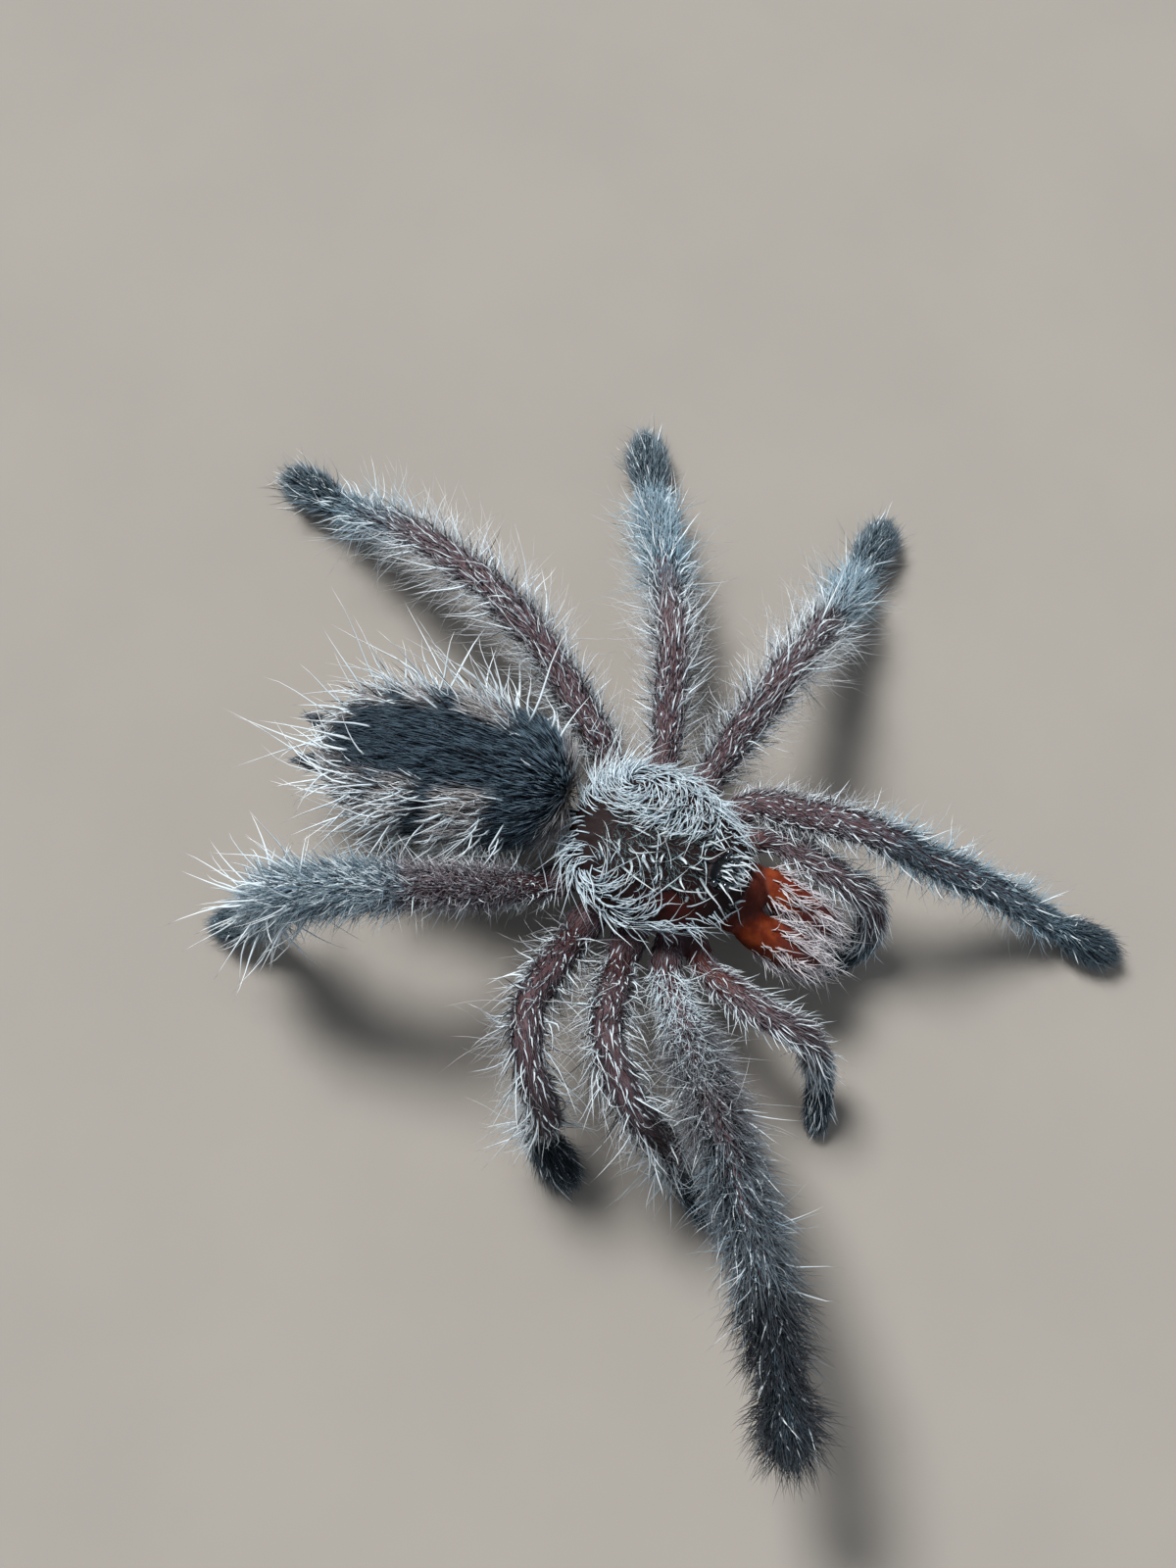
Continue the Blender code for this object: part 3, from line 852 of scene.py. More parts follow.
@cache
def strand() -> bpy.types.NodeTree:
    """Root, shaft and tip colours of a hair, with some hairs darker than others; built once.

    Returns:
        The node group.
    """
    tree = shade_group("hair_strand", ("Root", "Shaft", "Tip", "Spread"), ("Colour",))
    nodes, given = Nodes(tree), tree.nodes["Group Input"].outputs
    along = nodes.mask("along")
    lower = nodes.mix(nodes.ease(along, 0.0, 0.35), given["Root"], given["Shaft"])
    upper = nodes.mix(nodes.ease(along, 0.45, 1.0), lower, given["Tip"])
    dim = nodes.times(nodes.math("SUBTRACT", 1.0, nodes.mask("shade")), given["Spread"])
    nodes.add("NodeGroupOutput", {"Colour": nodes.mix(dim, upper, given["Root"])})
    return tree


def blank_material(name: str) -> tuple[bpy.types.Material, Nodes, bpy.types.Node]:
    """A new material, a writer for its nodes, and its shader.

    Args:
        name: The material's name.

    Returns:
        The material, the writer and the shader.
    """
    made = bpy.data.materials.new(name)
    made.use_nodes = True
    return made, Nodes(made.node_tree), made.node_tree.nodes["Principled BSDF"]


@dataclass(frozen=True)
class SkinFinish:
    """Cuticle: dark purple-brown, with bare warm patches, orange jaws, dark toes and a banded abdomen."""

    leg: Colour = (0.082, 0.045, 0.051)
    leg_pale: Colour = (0.15, 0.1, 0.114)
    shield: Colour = (0.0125, 0.0055, 0.006)
    toe: Colour = (0.012, 0.018, 0.025)
    warm: Colour = (0.034, 0.006, 0.0045)
    jaw: Colour = (0.12, 0.017, 0.006)
    jaw_pale: Colour = (0.3, 0.062, 0.018)
    jaw_end: Colour = (0.09, 0.03, 0.034)
    turret: Colour = (0.004, 0.005, 0.007)
    dark: Colour = (0.006, 0.009, 0.014)
    cream: Colour = (0.15, 0.124, 0.118)
    specular: float = 0.1
    mottles: tuple[float, float] = (0.8, 0.6)
    relief: float = 0.35
    relief_depth: float = 0.05

    def material(self) -> bpy.types.Material:
        """Build the skin's material.

        Returns:
            The material.
        """
        made, nodes, shader = blank_material("cuticle")
        base, jaw = (nodes.add("ShaderNodeGroup", {"Colour": colour, "Pale": pale, "Amount": amount},
                               node_tree=mottle()).outputs
                     for colour, pale, amount in zip((self.leg, self.jaw), (self.leg_pale, self.jaw_pale),
                                                     self.mottles))
        belly = nodes.mix(nodes.mask("dark"), self.cream, self.dark)
        colour = base["Colour"]
        for name, other in (("shield", self.shield), ("toe", self.toe), ("warm", self.warm),
                            ("jaw", jaw["Colour"]), ("jaw_end", self.jaw_end), ("abdomen", belly),
                            ("turret", self.turret)):
            colour = nodes.mix(nodes.mask(name), colour, other)
        relief = nodes.add("ShaderNodeBump", {"Height": base["Height"], "Strength": self.relief,
                                              "Distance": self.relief_depth * MILLIMETRE})
        nodes.feed(shader, {"Base Color": colour, "Roughness": base["Roughness"], "Normal": relief.outputs[0],
                            "Specular IOR Level": self.specular})
        return made


@dataclass(frozen=True)
class HairFinish:
    """One kind of hair: its shades from root to tip, and those that it takes as its tone rises."""

    name: str
    spread: float
    plain: Shades
    other: Shades | None = None
    end: Shades | None = None
    roughness: float = 0.5
    specular: float = 0.35

    def material(self) -> bpy.types.Material:
        """Build the hair's material.

        Returns:
            The material.
        """
        made, nodes, shader = blank_material(self.name)
        colour = self.strand(nodes, self.plain)
        if self.other:
            tone = nodes.mask("tone")
            colour = nodes.mix(nodes.ease(tone, 0.0, 0.5) if self.end else tone, colour,
                               self.strand(nodes, self.other))
            if self.end:
                colour = nodes.mix(nodes.ease(tone, 0.5, 1.0), colour, self.strand(nodes, self.end))
        nodes.feed(shader, {"Base Color": colour, "Roughness": self.roughness,
                            "Specular IOR Level": self.specular})
        return made

    def strand(self, nodes: Nodes, shades: Shades) -> Socket:
        """The colour of a strand group with its shades set."""
        feeds = {**dict(zip(("Root", "Shaft", "Tip"), shades)), "Spread": self.spread}
        return nodes.add("ShaderNodeGroup", feeds, node_tree=strand()).outputs["Colour"]


@dataclass(frozen=True)
class CloudFinish:
    """Two colours in soft clouds: a glossy eye or fang, or the plain floor with the faintest grain."""

    name: str
    colour: Colour
    other: Colour
    roughness: float
    pitch: float = 0.35
    detail: float = 2.0
    clouds: tuple[float, float] = (0.42, 0.7)
    coat: float = 1.0
    coat_roughness: float = 0.04

    def material(self) -> bpy.types.Material:
        """Build the material.

        Returns:
            The material.
        """
        made, nodes, shader = blank_material(self.name)
        share = nodes.ease(nodes.noise(self.pitch, self.detail), *self.clouds)
        nodes.feed(shader, {"Base Color": nodes.mix(share, self.colour, self.other),
                            "Roughness": self.roughness, "Coat Weight": self.coat,
                            "Coat Roughness": self.coat_roughness})
        return made


WHITE_HAIR = HairFinish("white_setae", 0.4, ((0.52, 0.61, 0.68), (0.8, 0.91, 0.98), (0.95, 0.98, 1.0)))
SHIELD_HAIR = HairFinish("shield_setae", 0.55, ((0.4, 0.5, 0.58), (0.78, 0.91, 0.99), (0.93, 0.98, 1.0)))
FRINGE_HAIR = HairFinish("fringe_setae", 0.55, ((0.26, 0.26, 0.28), (0.66, 0.71, 0.76), (0.92, 0.95, 0.98)),
                         ((0.08, 0.12, 0.16), (0.37, 0.57, 0.71), (0.8, 0.93, 0.99)),
                         ((0.03, 0.045, 0.06), (0.16, 0.23, 0.29), (0.52, 0.62, 0.68)))
DOWN_HAIR = HairFinish("leg_down", 0.6, ((0.11, 0.084, 0.096), (0.29, 0.258, 0.292), (0.56, 0.57, 0.63)),
                       ((0.035, 0.057, 0.08), (0.265, 0.405, 0.515), (0.68, 0.86, 0.96)),
                       ((0.014, 0.024, 0.034), (0.076, 0.124, 0.165), (0.34, 0.48, 0.57)))
# A darker copy of the leg down, for the right side's second and third legs: painted shade.
SHADED_DOWN_HAIR = HairFinish("dusk_down", 0.6, ((0.052, 0.038, 0.045), (0.135, 0.118, 0.138), (0.3, 0.31, 0.35)),
                       ((0.015, 0.024, 0.034), (0.07, 0.105, 0.138), (0.24, 0.33, 0.4)),
                       ((0.008, 0.013, 0.019), (0.034, 0.054, 0.074), (0.16, 0.23, 0.29)))
CREST_HAIR = HairFinish("crest_setae", 0.6, ((0.03, 0.05, 0.07), (0.18, 0.27, 0.35), (0.64, 0.79, 0.87)))
SMOKE_HAIR = HairFinish("raised_leg_setae", 0.6,
                        ((0.05, 0.048, 0.056), (0.15, 0.155, 0.18), (0.4, 0.44, 0.49)),
                        ((0.035, 0.042, 0.052), (0.12, 0.15, 0.18), (0.36, 0.44, 0.5)),
                        ((0.008, 0.01, 0.013), (0.028, 0.034, 0.045), (0.09, 0.11, 0.14)))
VELVET_HAIR = HairFinish("abdomen_velvet", 0.5, ((0.09, 0.079, 0.077), (0.34, 0.32, 0.325), (0.8, 0.8, 0.82)),
                         ((0.004, 0.007, 0.011), (0.03, 0.052, 0.08), (0.18, 0.285, 0.37)),
                         roughness=0.38)
JAW_HAIR = HairFinish("jaw_setae", 0.5, ((0.4, 0.3, 0.3), (0.79, 0.8, 0.86), (0.95, 0.97, 1.0)))
TEAL_HAIR = HairFinish("head_setae", 0.8, ((0.04, 0.06, 0.066), (0.12, 0.185, 0.205), (0.36, 0.5, 0.54)))
PALE_HAIR = HairFinish("head_bristles", 0.45, ((0.26, 0.33, 0.36), (0.7, 0.79, 0.84), (0.94, 0.97, 0.99)))
BLACK_HAIR = HairFinish("black_setae", 0.2, ((0.006, 0.007, 0.01), (0.012, 0.015, 0.02), (0.04, 0.05, 0.06)))
EYE_FINISH = CloudFinish("eye_gloss", (0.004, 0.006, 0.01), (0.01, 0.018, 0.034), 0.06)
FANG_FINISH = CloudFinish("fang_gloss", (0.012, 0.007, 0.007), (0.06, 0.014, 0.009), 0.16)
FLOOR_FINISH = CloudFinish("studio_floor", (0.325, 0.302, 0.275), (0.34125, 0.3171, 0.28875), 0.85, 14.0, 4.0,
                           (0.3, 0.7), 0.0)


# Placing pieces

class Habitat:
    """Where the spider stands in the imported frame, and how a finished piece joins it."""

    def __init__(self, carapace: Carapace) -> None:
        """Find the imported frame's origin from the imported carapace.

        Args:
            carapace: The shield, in the spider's own frame.
        """
        low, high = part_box("carapace")
        centre = Vector(carapace.centre) * MILLIMETRE
        self.shift = Vector((0.5 * (low.x + high.x) - centre.x, 0.5 * (low.y + high.y) - centre.y, 0.0))

    @staticmethod
    def link(name: str, data: bpy.types.ID) -> bpy.types.Object:
        """Make an object of a mesh, curve, light or camera and show it.

        Args:
            name: The object's name.
            data: What it shows.

        Returns:
            The object.
        """
        made = bpy.data.objects.new(name, data)
        bpy.context.scene.collection.objects.link(made)
        return made

    def finish(self, name: str, mesh: bpy.types.Mesh, slot: str, *replaced: str) -> None:
        """Turn a mesh in millimetres into a piece of the model.

        Args:
            name: The piece's name.
            mesh: Its mesh, in the spider's own frame.
            slot: Not used.
            *replaced: The CAD nodes that it stands for.
        """
        mesh.transform(Matrix.Translation(self.shift) @ Matrix.Scale(MILLIMETRE, 4))
        mesh.name = name
        piece = self.link(name, mesh)
        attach(piece, "root")
        if replaced:
            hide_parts(*replaced)
        log.info("%s: %d triangles", name, sum(len(face.vertices) - 2 for face in mesh.polygons))


def baked(target: bpy.types.Object) -> bpy.types.Mesh:
    """The mesh of an object with its modifiers applied; the object itself is removed.

    Args:
        target: The object.

    Returns:
        The mesh.
    """
    depsgraph = bpy.context.evaluated_depsgraph_get()
    mesh = bpy.data.meshes.new_from_object(target.evaluated_get(depsgraph))
    old = target.data
    target.modifiers.clear()
    bpy.data.objects.remove(target)
    if isinstance(old, bpy.types.Mesh):
        bpy.data.meshes.remove(old)
    return mesh


@dataclass
class Skin:
    """One skin over all the flesh, with no seams."""

    habitat: Habitat
    voxel: float = 0.156
    smoothing: int = 5
    smoothing_share: float = 0.5
    blend: int = 3
    masks: tuple[str, ...] = ("shield", "toe", "warm", "jaw", "jaw_end", "abdomen", "dark", "turret")
    separate: tuple[str, ...] = ("eye_front", "eye_rear", "fang_")

    def build(self, surfaces: list[Surface]) -> BVHTree:
        """Join the surfaces into one skin.

        Args:
            surfaces: Every surface of the flesh.

        Returns:
            A tree for finding the skin's nearest point in millimetres.
        """
        flesh = Habitat.link("flesh", joined("flesh", surfaces))
        remesh = flesh.modifiers.new("one_skin", "REMESH")
        remesh.mode = "VOXEL"
        remesh.voxel_size = self.voxel
        smooth = flesh.modifiers.new("even_out", "SMOOTH")
        smooth.factor = self.smoothing_share
        smooth.iterations = self.smoothing
        skin = baked(flesh)
        skin.shade_smooth()
        self.paint(skin, surfaces)
        skin.materials.append(SkinFinish().material())
        bm = bmesh.new()
        bm.from_mesh(skin)
        tree = BVHTree.FromBMesh(bm)
        bm.free()
        replaced = [name for name in sorted(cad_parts) if not name.startswith(self.separate)]
        self.habitat.finish("skin", skin, "leg", *replaced)
        return tree

    def paint(self, skin: bpy.types.Mesh, surfaces: list[Surface]) -> None:
        """Give the skin the masks of the surfaces it was made from.

        Args:
            skin: The skin; each of its points takes the mean of its nearest few on the surfaces.
            surfaces: Every surface of the flesh.
        """
        verts = np.concatenate([surface.shell[0] for surface in surfaces])
        finder = KDTree(len(verts))
        for index, vert in enumerate(verts):
            finder.insert(vert, index)
        finder.balance()
        picks = np.array([[hit[1] for hit in finder.find_n(vert.co, self.blend)] for vert in skin.vertices])
        for name in self.masks:
            values = np.concatenate([with_ends(surface.mask(name)) for surface in surfaces])
            keep(skin, name, values[picks].mean(axis=1))


# Coat

@dataclass
class Comb:
    """How the hairs stand on one surface: numbers for each of its points, or one for them all."""

    cover: Array | float
    reach: Array | float
    stand: Array | float
    lie: Array
    bend: Array
    tone: Array | float = 0.0


class HairTree:
    """The Geometry Nodes tree that grows one kind of hair over a combed surface."""

    sizes: dict[str, float] = {"Spacing": 0.1, "Density": 50.0, "Length": 1.0, "Width": 0.03, "Scatter": 0.2,
                               "Length Spread": 0.35, "Curl": 0.1, "Patch": 0.003}
    counts: dict[str, int] = {"Sections": 3, "Seed": 1}
    ways: tuple[str, ...] = ("bow", "wave", "way", "size", "chart", "patch", "lie", "bend", "unwrap")
    numbers: tuple[str, ...] = ("cover", "stand", "reach")

    def __init__(self) -> None:
        """Build the tree once for all the pieces."""
        self.tree = bpy.data.node_groups.new("hairs_over_a_surface", "GeometryNodeTree")
        face = self.tree.interface
        face.new_socket(name="Surface", in_out="INPUT", socket_type="NodeSocketGeometry")
        for kind, defaults in (("NodeSocketFloat", self.sizes), ("NodeSocketInt", self.counts)):
            for name, value in defaults.items():
                face.new_socket(name=name, in_out="INPUT", socket_type=kind).default_value = value
        face.new_socket(name="Finish", in_out="INPUT", socket_type="NodeSocketMaterial")
        face.new_socket(name="Hairs", in_out="OUTPUT", socket_type="NodeSocketGeometry")
        self.identifiers = {item.name: item.identifier for item in face.items_tree if item.in_out == "INPUT"}
        self.nodes = Nodes(self.tree)
        self.given = self.nodes.add("NodeGroupInput").outputs
        self.grow()

    def kind(self, name: str) -> str:
        """Whether an attribute is a vector or a number."""
        return "FLOAT_VECTOR" if name in self.ways else "FLOAT"

    def named(self, name: str) -> Socket:
        """An attribute of the geometry."""
        node = self.nodes.add("GeometryNodeInputNamedAttribute", {"Name": name}, data_type=self.kind(name))
        return next(socket for socket in node.outputs if socket.enabled)

    def store(self, geometry: Socket, name: str, value: Socket, kind: str = "",
              domain: str = "POINT") -> Socket:
        """Keep a value on the geometry under a name.

        Args:
            geometry: The geometry.
            name: The attribute's name.
            value: The value.
            kind: Its type, where the name does not give it.
            domain: What it is kept on.

        Returns:
            The geometry that has it.
        """
        feeds = {"Geometry": geometry, "Name": name, "Value": value}
        return self.nodes.add("GeometryNodeStoreNamedAttribute", feeds, data_type=kind or self.kind(name),
                              domain=domain).outputs["Geometry"]

    def chance(self, low: object, high: object, salt: int) -> Socket:
        """A random value for each hair.

        Args:
            low: Lowest value, a number or a vector.
            high: Highest value.
            salt: Added to the seed, so that no two values go together.

        Returns:
            The value's socket.
        """
        seed = self.nodes.math("ADD", self.given["Seed"], float(salt))
        node = self.nodes.add("FunctionNodeRandomValue", {"Seed": seed, "Min": low, "Max": high},
                              data_type="FLOAT_VECTOR" if isinstance(low, tuple) else "FLOAT")
        return next(socket for socket in node.outputs if socket.enabled)

    def stray(self, salt: int, size: Socket) -> Socket:
        """A random vector for each hair, up to a size along each axis."""
        return self.nodes.vector("SCALE", self.chance((-1.0, -1.0, -1.0), (1.0, 1.0, 1.0), salt), size)

    def strand(self) -> Socket:
        """One straight three-sided hair of unit length and radius, which knows its way along.

        Returns:
            The hair's geometry.
        """
        nodes = self.nodes
        cone = nodes.add("GeometryNodeMeshCone", {"Vertices": 3, "Side Segments": self.given["Sections"],
                                                  "Fill Segments": 1, "Radius Top": 0.0, "Radius Bottom": 1.0,
                                                  "Depth": 1.0}, fill_type="NGON")
        spot = nodes.add("ShaderNodeSeparateXYZ", {0: nodes.add("GeometryNodeInputPosition").outputs[0]})
        x, y, z = spot.outputs
        swing = nodes.math("SUBTRACT", nodes.times(x, 0.94), nodes.times(y, 0.34))
        patch_v = nodes.math("ADD", nodes.math("MULTIPLY_ADD", z, 0.8, -0.4), nodes.times(y, 0.08))
        geometry = self.store(cone.outputs["Mesh"], "along", z)
        geometry = self.store(geometry, "patch", nodes.combine(nodes.times(swing, 0.45), patch_v, 0.0))
        full = nodes.math("MULTIPLY_ADD", z, 0.75, 1.0)
        shaped = nodes.combine(nodes.times(x, full), nodes.times(y, full), z)
        return nodes.add("GeometryNodeSetPosition", {"Geometry": geometry, "Position": shaped}).outputs[0]

    def grow(self) -> None:
        """Lay out the whole tree."""
        nodes, given, vector = self.nodes, self.given, self.nodes.vector
        named, chance = self.named, self.chance
        spread = nodes.add("GeometryNodeDistributePointsOnFaces",
                           {"Mesh": given["Surface"], "Distance Min": given["Spacing"],
                            "Density Max": given["Density"], "Density Factor": named("cover"),
                            "Seed": given["Seed"]}, distribute_method="POISSON").outputs
        stand = nodes.times(named("stand"), chance(0.65, 1.35, 11))
        flat = vector("SCALE", vector("NORMALIZE", named("lie")), nodes.math("COSINE", stand))
        raised = vector("SCALE", spread["Normal"], nodes.math("SINE", stand))
        way = vector("ADD", vector("ADD", flat, raised), self.stray(12, given["Scatter"]))
        shortest = nodes.math("SUBTRACT", 1.0, given["Length Spread"])
        length = nodes.times(nodes.times(given["Length"], named("reach")), chance(shortest, 1.12, 13))
        width = nodes.times(given["Width"], chance(0.75, 1.15, 14))
        curl = nodes.times(given["Curl"], length)
        points = spread["Points"]
        bow = vector("ADD", vector("SCALE", named("bend"), length), self.stray(15, curl))
        for name, value in (("bow", bow), ("wave", self.stray(17, nodes.times(curl, 0.12))),
                            ("way", vector("NORMALIZE", way)), ("chart", named("unwrap")),
                            ("shade", chance(0.0, 1.0, 16)), ("size", nodes.combine(width, width, length))):
            points = self.store(points, name, value)
        turned = nodes.add("FunctionNodeAlignRotationToVector", {"Vector": named("way")}, axis="Z")
        placed = nodes.add("GeometryNodeInstanceOnPoints",
                           {"Points": points, "Instance": self.strand(), "Rotation": turned.outputs[0],
                            "Scale": named("size")})
        real = nodes.add("GeometryNodeRealizeInstances", {0: placed.outputs[0]})
        along = named("along")
        bent = vector("SCALE", named("bow"), nodes.math("POWER", along, 2.0))
        waved = vector("SCALE", named("wave"), nodes.math("SINE", nodes.times(along, 5.2)))
        shaped = nodes.add("GeometryNodeSetPosition", {"Geometry": real.outputs[0],
                                                       "Offset": vector("ADD", bent, waved)})
        chart = vector("ADD", named("chart"), vector("SCALE", named("patch"), given["Patch"]))
        geometry = self.store(shaped.outputs[0], "OFBake", chart, "FLOAT2", "CORNER")
        for name in self.ways + self.numbers:
            rest = nodes.add("GeometryNodeRemoveAttribute", {"Geometry": geometry, "Name": name})
            geometry = rest.outputs[0]
        smooth = nodes.add("GeometryNodeSetShadeSmooth", {0: geometry})
        dressed = nodes.add("GeometryNodeSetMaterial",
                            {"Geometry": smooth.outputs[0], "Material": given["Finish"]})
        nodes.add("NodeGroupOutput", {"Hairs": dressed.outputs[0]})


@dataclass
class Coat:
    """One piece of the coat: one kind of hair over some of the surfaces. A subclass says how it is combed."""

    name: str
    finish: HairFinish
    length: float
    width: float
    spacing: float
    density: float
    scatter: float
    curl: float
    sections: int
    seed: int
    length_spread: float = 0.35
    patch: float = 0.003
    slot: str = "leg"
    regions: tuple[Region, ...] = (Region.LEG,)
    under_skin: float = 0.22
    tuft: float = 0.32
    bend_ahead: float = 0.22
    bend_in: float = 0.16
    lowest: float = 0.02

    def wants(self, surface: Surface) -> bool:
        """Whether these hairs grow on a surface."""
        return surface.region in self.regions

    def comb(self, surface: Surface) -> Comb:
        """Comb one surface."""
        raise NotImplementedError

    def flow(self, surface: Surface) -> tuple[Array, Array]:
        """Hairs that lie towards the tip and bend over towards it: their lie and their bend.

        Args:
            surface: The surface to comb.

        Returns:
            The lie and the bend.
        """
        drift = self.tuft * ripple(surface.points, 1.2, 7.0)[..., None] * surface.across
        lie = unit_rows(surface.ahead + drift)
        return lie, self.bend_ahead * lie - self.bend_in * surface.out

    def build(self, habitat: Habitat, tree: HairTree, surfaces: list[Surface], skin: BVHTree) -> None:
        """Grow the piece and add it to the model.

        Args:
            habitat: Where it goes.
            tree: The tree that grows hairs.
            surfaces: Every surface of the flesh.
            skin: Finds the skin's nearest point, so that no hair starts deep inside.
        """
        wanted = [surface for surface in surfaces if self.wants(surface)]
        mesh = joined(self.name, wanted)
        combs = [self.comb(surface) for surface in wanted]
        for name in ("cover", "reach", "stand", "tone", "lie", "bend"):
            kind = tree.kind(name)
            size = (3,) if kind == "FLOAT_VECTOR" else ()
            rows = [with_ends(np.ones(surface.place.shape + size) * getattr(comb, name))
                    for surface, comb in zip(wanted, combs)]
            if name == "cover":
                for surface, cover in zip(wanted, rows):
                    self.bare_inside(surface, cover, skin)
            keep(mesh, name, np.concatenate(rows), kind)
        chart = [spot for column, surface in enumerate(wanted)
                 for spot in self.chart(surface, column, len(wanted))]
        keep(mesh, "unwrap", np.array(chart), "FLOAT2", "CORNER")
        grower = Habitat.link(self.name + "_surface", mesh)
        modifier = grower.modifiers.new("hairs", "NODES")
        modifier.node_group = tree.tree
        modifier[tree.identifiers["Finish"]] = self.finish.material()
        for name in (*tree.sizes, *tree.counts):
            modifier[tree.identifiers[name]] = getattr(self, name.lower().replace(" ", "_"))
        hairs = baked(grower)
        spots = np.empty(len(hairs.vertices) * 3, np.float32)
        hairs.vertices.foreach_get("co", spots)
        spots[2::3] = np.maximum(spots[2::3], self.lowest)
        hairs.vertices.foreach_set("co", spots)
        habitat.finish(self.name, hairs, self.slot)

    def bare_inside(self, surface: Surface, cover: Array, skin: BVHTree) -> None:
        """Clear the cover at a surface's ends and wherever it lies under the skin.

        Args:
            surface: The surface.
            cover: Its cover, which is changed.
            skin: Finds the skin's nearest point.
        """
        cover[-2:] = 0.0
        for index in np.nonzero(cover > 0.01)[0]:
            gap = skin.find_nearest(Vector(surface.shell[0][index]))[3]
            if gap is None or gap > self.under_skin:
                cover[index] = 0.0

    @staticmethod
    def chart(surface: Surface, column: int, columns: int) -> list[tuple[float, float]]:
        """Unwrap a surface into its own upright strip of the unit square.

        Args:
            surface: The surface.
            column: Which strip it takes.
            columns: How many strips there are.

        Returns:
            One place on the unwrap for each corner of each face.
        """
        rings, around = surface.place.shape
        root = rings * around
        made = []
        for face in surface.shell[1]:
            steps = [index % around for index in face if index < root]
            wraps = max(steps) - min(steps) > around // 2
            for index in face:
                if index < root:
                    across, along = index % around, index // around
                    if wraps and across < around // 2:
                        across += around
                else:
                    across = around - 0.5 if wraps else sum(steps) / len(steps)
                    along = (index - root) * (rings - 1.0)
                strip = (column + 0.03 + 0.94 * across / around) / columns
                made.append((strip, 0.01 + 0.98 * along / (rings - 1)))
        return made


@dataclass
class ShieldCurls(Coat):
    """White curly hairs that whorl over each half of the shield and sweep round its rim."""

    slot: str = "carapace"
    regions: tuple[Region, ...] = (Region.CARAPACE,)
    shield: Carapace = field(default_factory=Carapace)
    stand: float = 13.0

    def comb(self, surface: Surface) -> Comb:
        """Comb the shield in two whorls.

        Args:
            surface: The surface to comb.

        Returns:
            How the hairs stand on it.
        """
        points, out = surface.points, surface.out
        x, y, _ = parts(points)
        side = np.where(x >= 0.0, 1.0, -1.0)
        from_x, from_y = x - side * self.shield.whorl[0], y - self.shield.whorl[1]
        from_whorl = vectors(from_x, from_y, 0.0)
        apart = np.maximum(np.hypot(from_x, from_y), 0.3)[..., None]
        spin = unit_rows(vectors(from_y * side, -from_x * side, 0.0)) + 0.25 * from_whorl / apart
        caput = ease(-1.6, -3.2, y)[..., None]
        lie = laid(unit_rows(spin) * (1.0 - caput) + vectors(0.25 * side, -1.0, 0.0) * caput, out)
        lie = unit_rows(lie + self.tuft * ripple(points, 0.9, 4.0)[..., None] * np.cross(lie, out))
        bend = 0.4 * unit_rows(-from_whorl) * (1.0 - caput) - 0.06 * out
        rim = ease(0.72, 0.95, np.hypot(x / 4.1, (y + 0.15) / 4.5))
        band = np.abs(x + 0.25) - 0.35 * ease(2.0, -3.5, y)
        bare = ease(0.65, 1.35, band + 0.3 * ripple(points, 1.3, 4.0))
        patch = ease(0.35, 0.9, 1.0 - surface.mask("warm"))
        cover = np.maximum(bare, 0.04) * patch * (1.0 - 0.72 * ease(-1.4, -2.6, y)) + 0.6 * rim
        cover = np.clip(cover, 0.0, 1.0) * ease(0.3, 0.7, out[..., 2] + 0.55 + 0.4 * rim)
        brow = ease(-2.2, -3.5, y)
        cover *= (1.0 - 0.9 * surface.mask("front")) * (1.0 - 0.6 * brow)
        turret = np.linalg.norm((points - np.array(self.shield.turret_centre))[..., :2], axis=-1)
        cover *= ease(0.7, 1.25, turret)
        cover *= 0.45 + 0.55 * ease(-0.45, 0.15, ripple(points, 1.1, 8.0) + 0.5 * rim)
        cover *= 1.0 - (0.35 + 0.35 * (1.0 - rim)) * ease(0.0, -0.8, x)
        reach = (0.8 + 0.35 * rim) * (1.0 - 0.45 * brow)
        return Comb(cover, reach, math.radians(self.stand) + 0.1 * rim, lie, bend)


@dataclass
class SideFringe(Coat):
    """Hairs along the limbs of one side, or of both, with their own cover on top, at the flanks and below."""

    side: float = 0.0
    at: Triple = (0.1, 1.0, 0.3)
    stand: float = 50.0
    start: float = 0.75
    distal: float = 1.0
    shorten: float = 0.42
    settle: float = 0.45
    span: tuple[float, float] = (0.0, 7.0)
    trimmed: float = 0.62
    trimmed_legs: tuple[str, ...] = ("left_leg_1", "right_leg_4")

    def wants(self, surface: Surface) -> bool:
        """Whether these hairs grow on a surface."""
        return surface.region in self.regions and self.side in (0.0, surface.side)

    def comb(self, surface: Surface) -> Comb:
        """Comb the limbs towards their toes.

        Args:
            surface: The surface to comb.

        Returns:
            How the hairs stand on it.
        """
        top, flank, belly = self.at
        turn, place = np.abs(surface.turn), surface.place
        toeward = place * 6.0 / place.max()
        cover = top + (flank - top) * ease(0.55, 1.25, turn) + (belly - flank) * ease(2.0, 2.7, turn)
        cover = cover * ease(self.start - 0.2, self.start + 0.25, place)
        cover = cover * (1.0 + (self.distal - 1.0) * ease(2.6, 5.2, toeward))
        cover = cover * (1.0 - 0.3 * surface.mask("warm"))
        low, high = self.span
        cover = cover * ease(low - 0.15, low + 0.15, place) * ease(high + 0.15, high - 0.15, place)
        reach = 1.0 - self.shorten * ease(4.2, 5.6, toeward)
        reach = reach * (0.72 + 0.28 * ease(1.2, 2.4, toeward)) * (1.0 - 0.35 * bump(5.0, 0.35, toeward))
        if surface.name in self.trimmed_legs:
            reach = reach * self.trimmed
        stand = math.radians(self.stand) * (1.0 - self.settle * ease(4.4, 5.8, toeward))
        return Comb(np.clip(cover, 0.0, 1.0), reach, stand, *self.flow(surface), surface.mask("tone"))


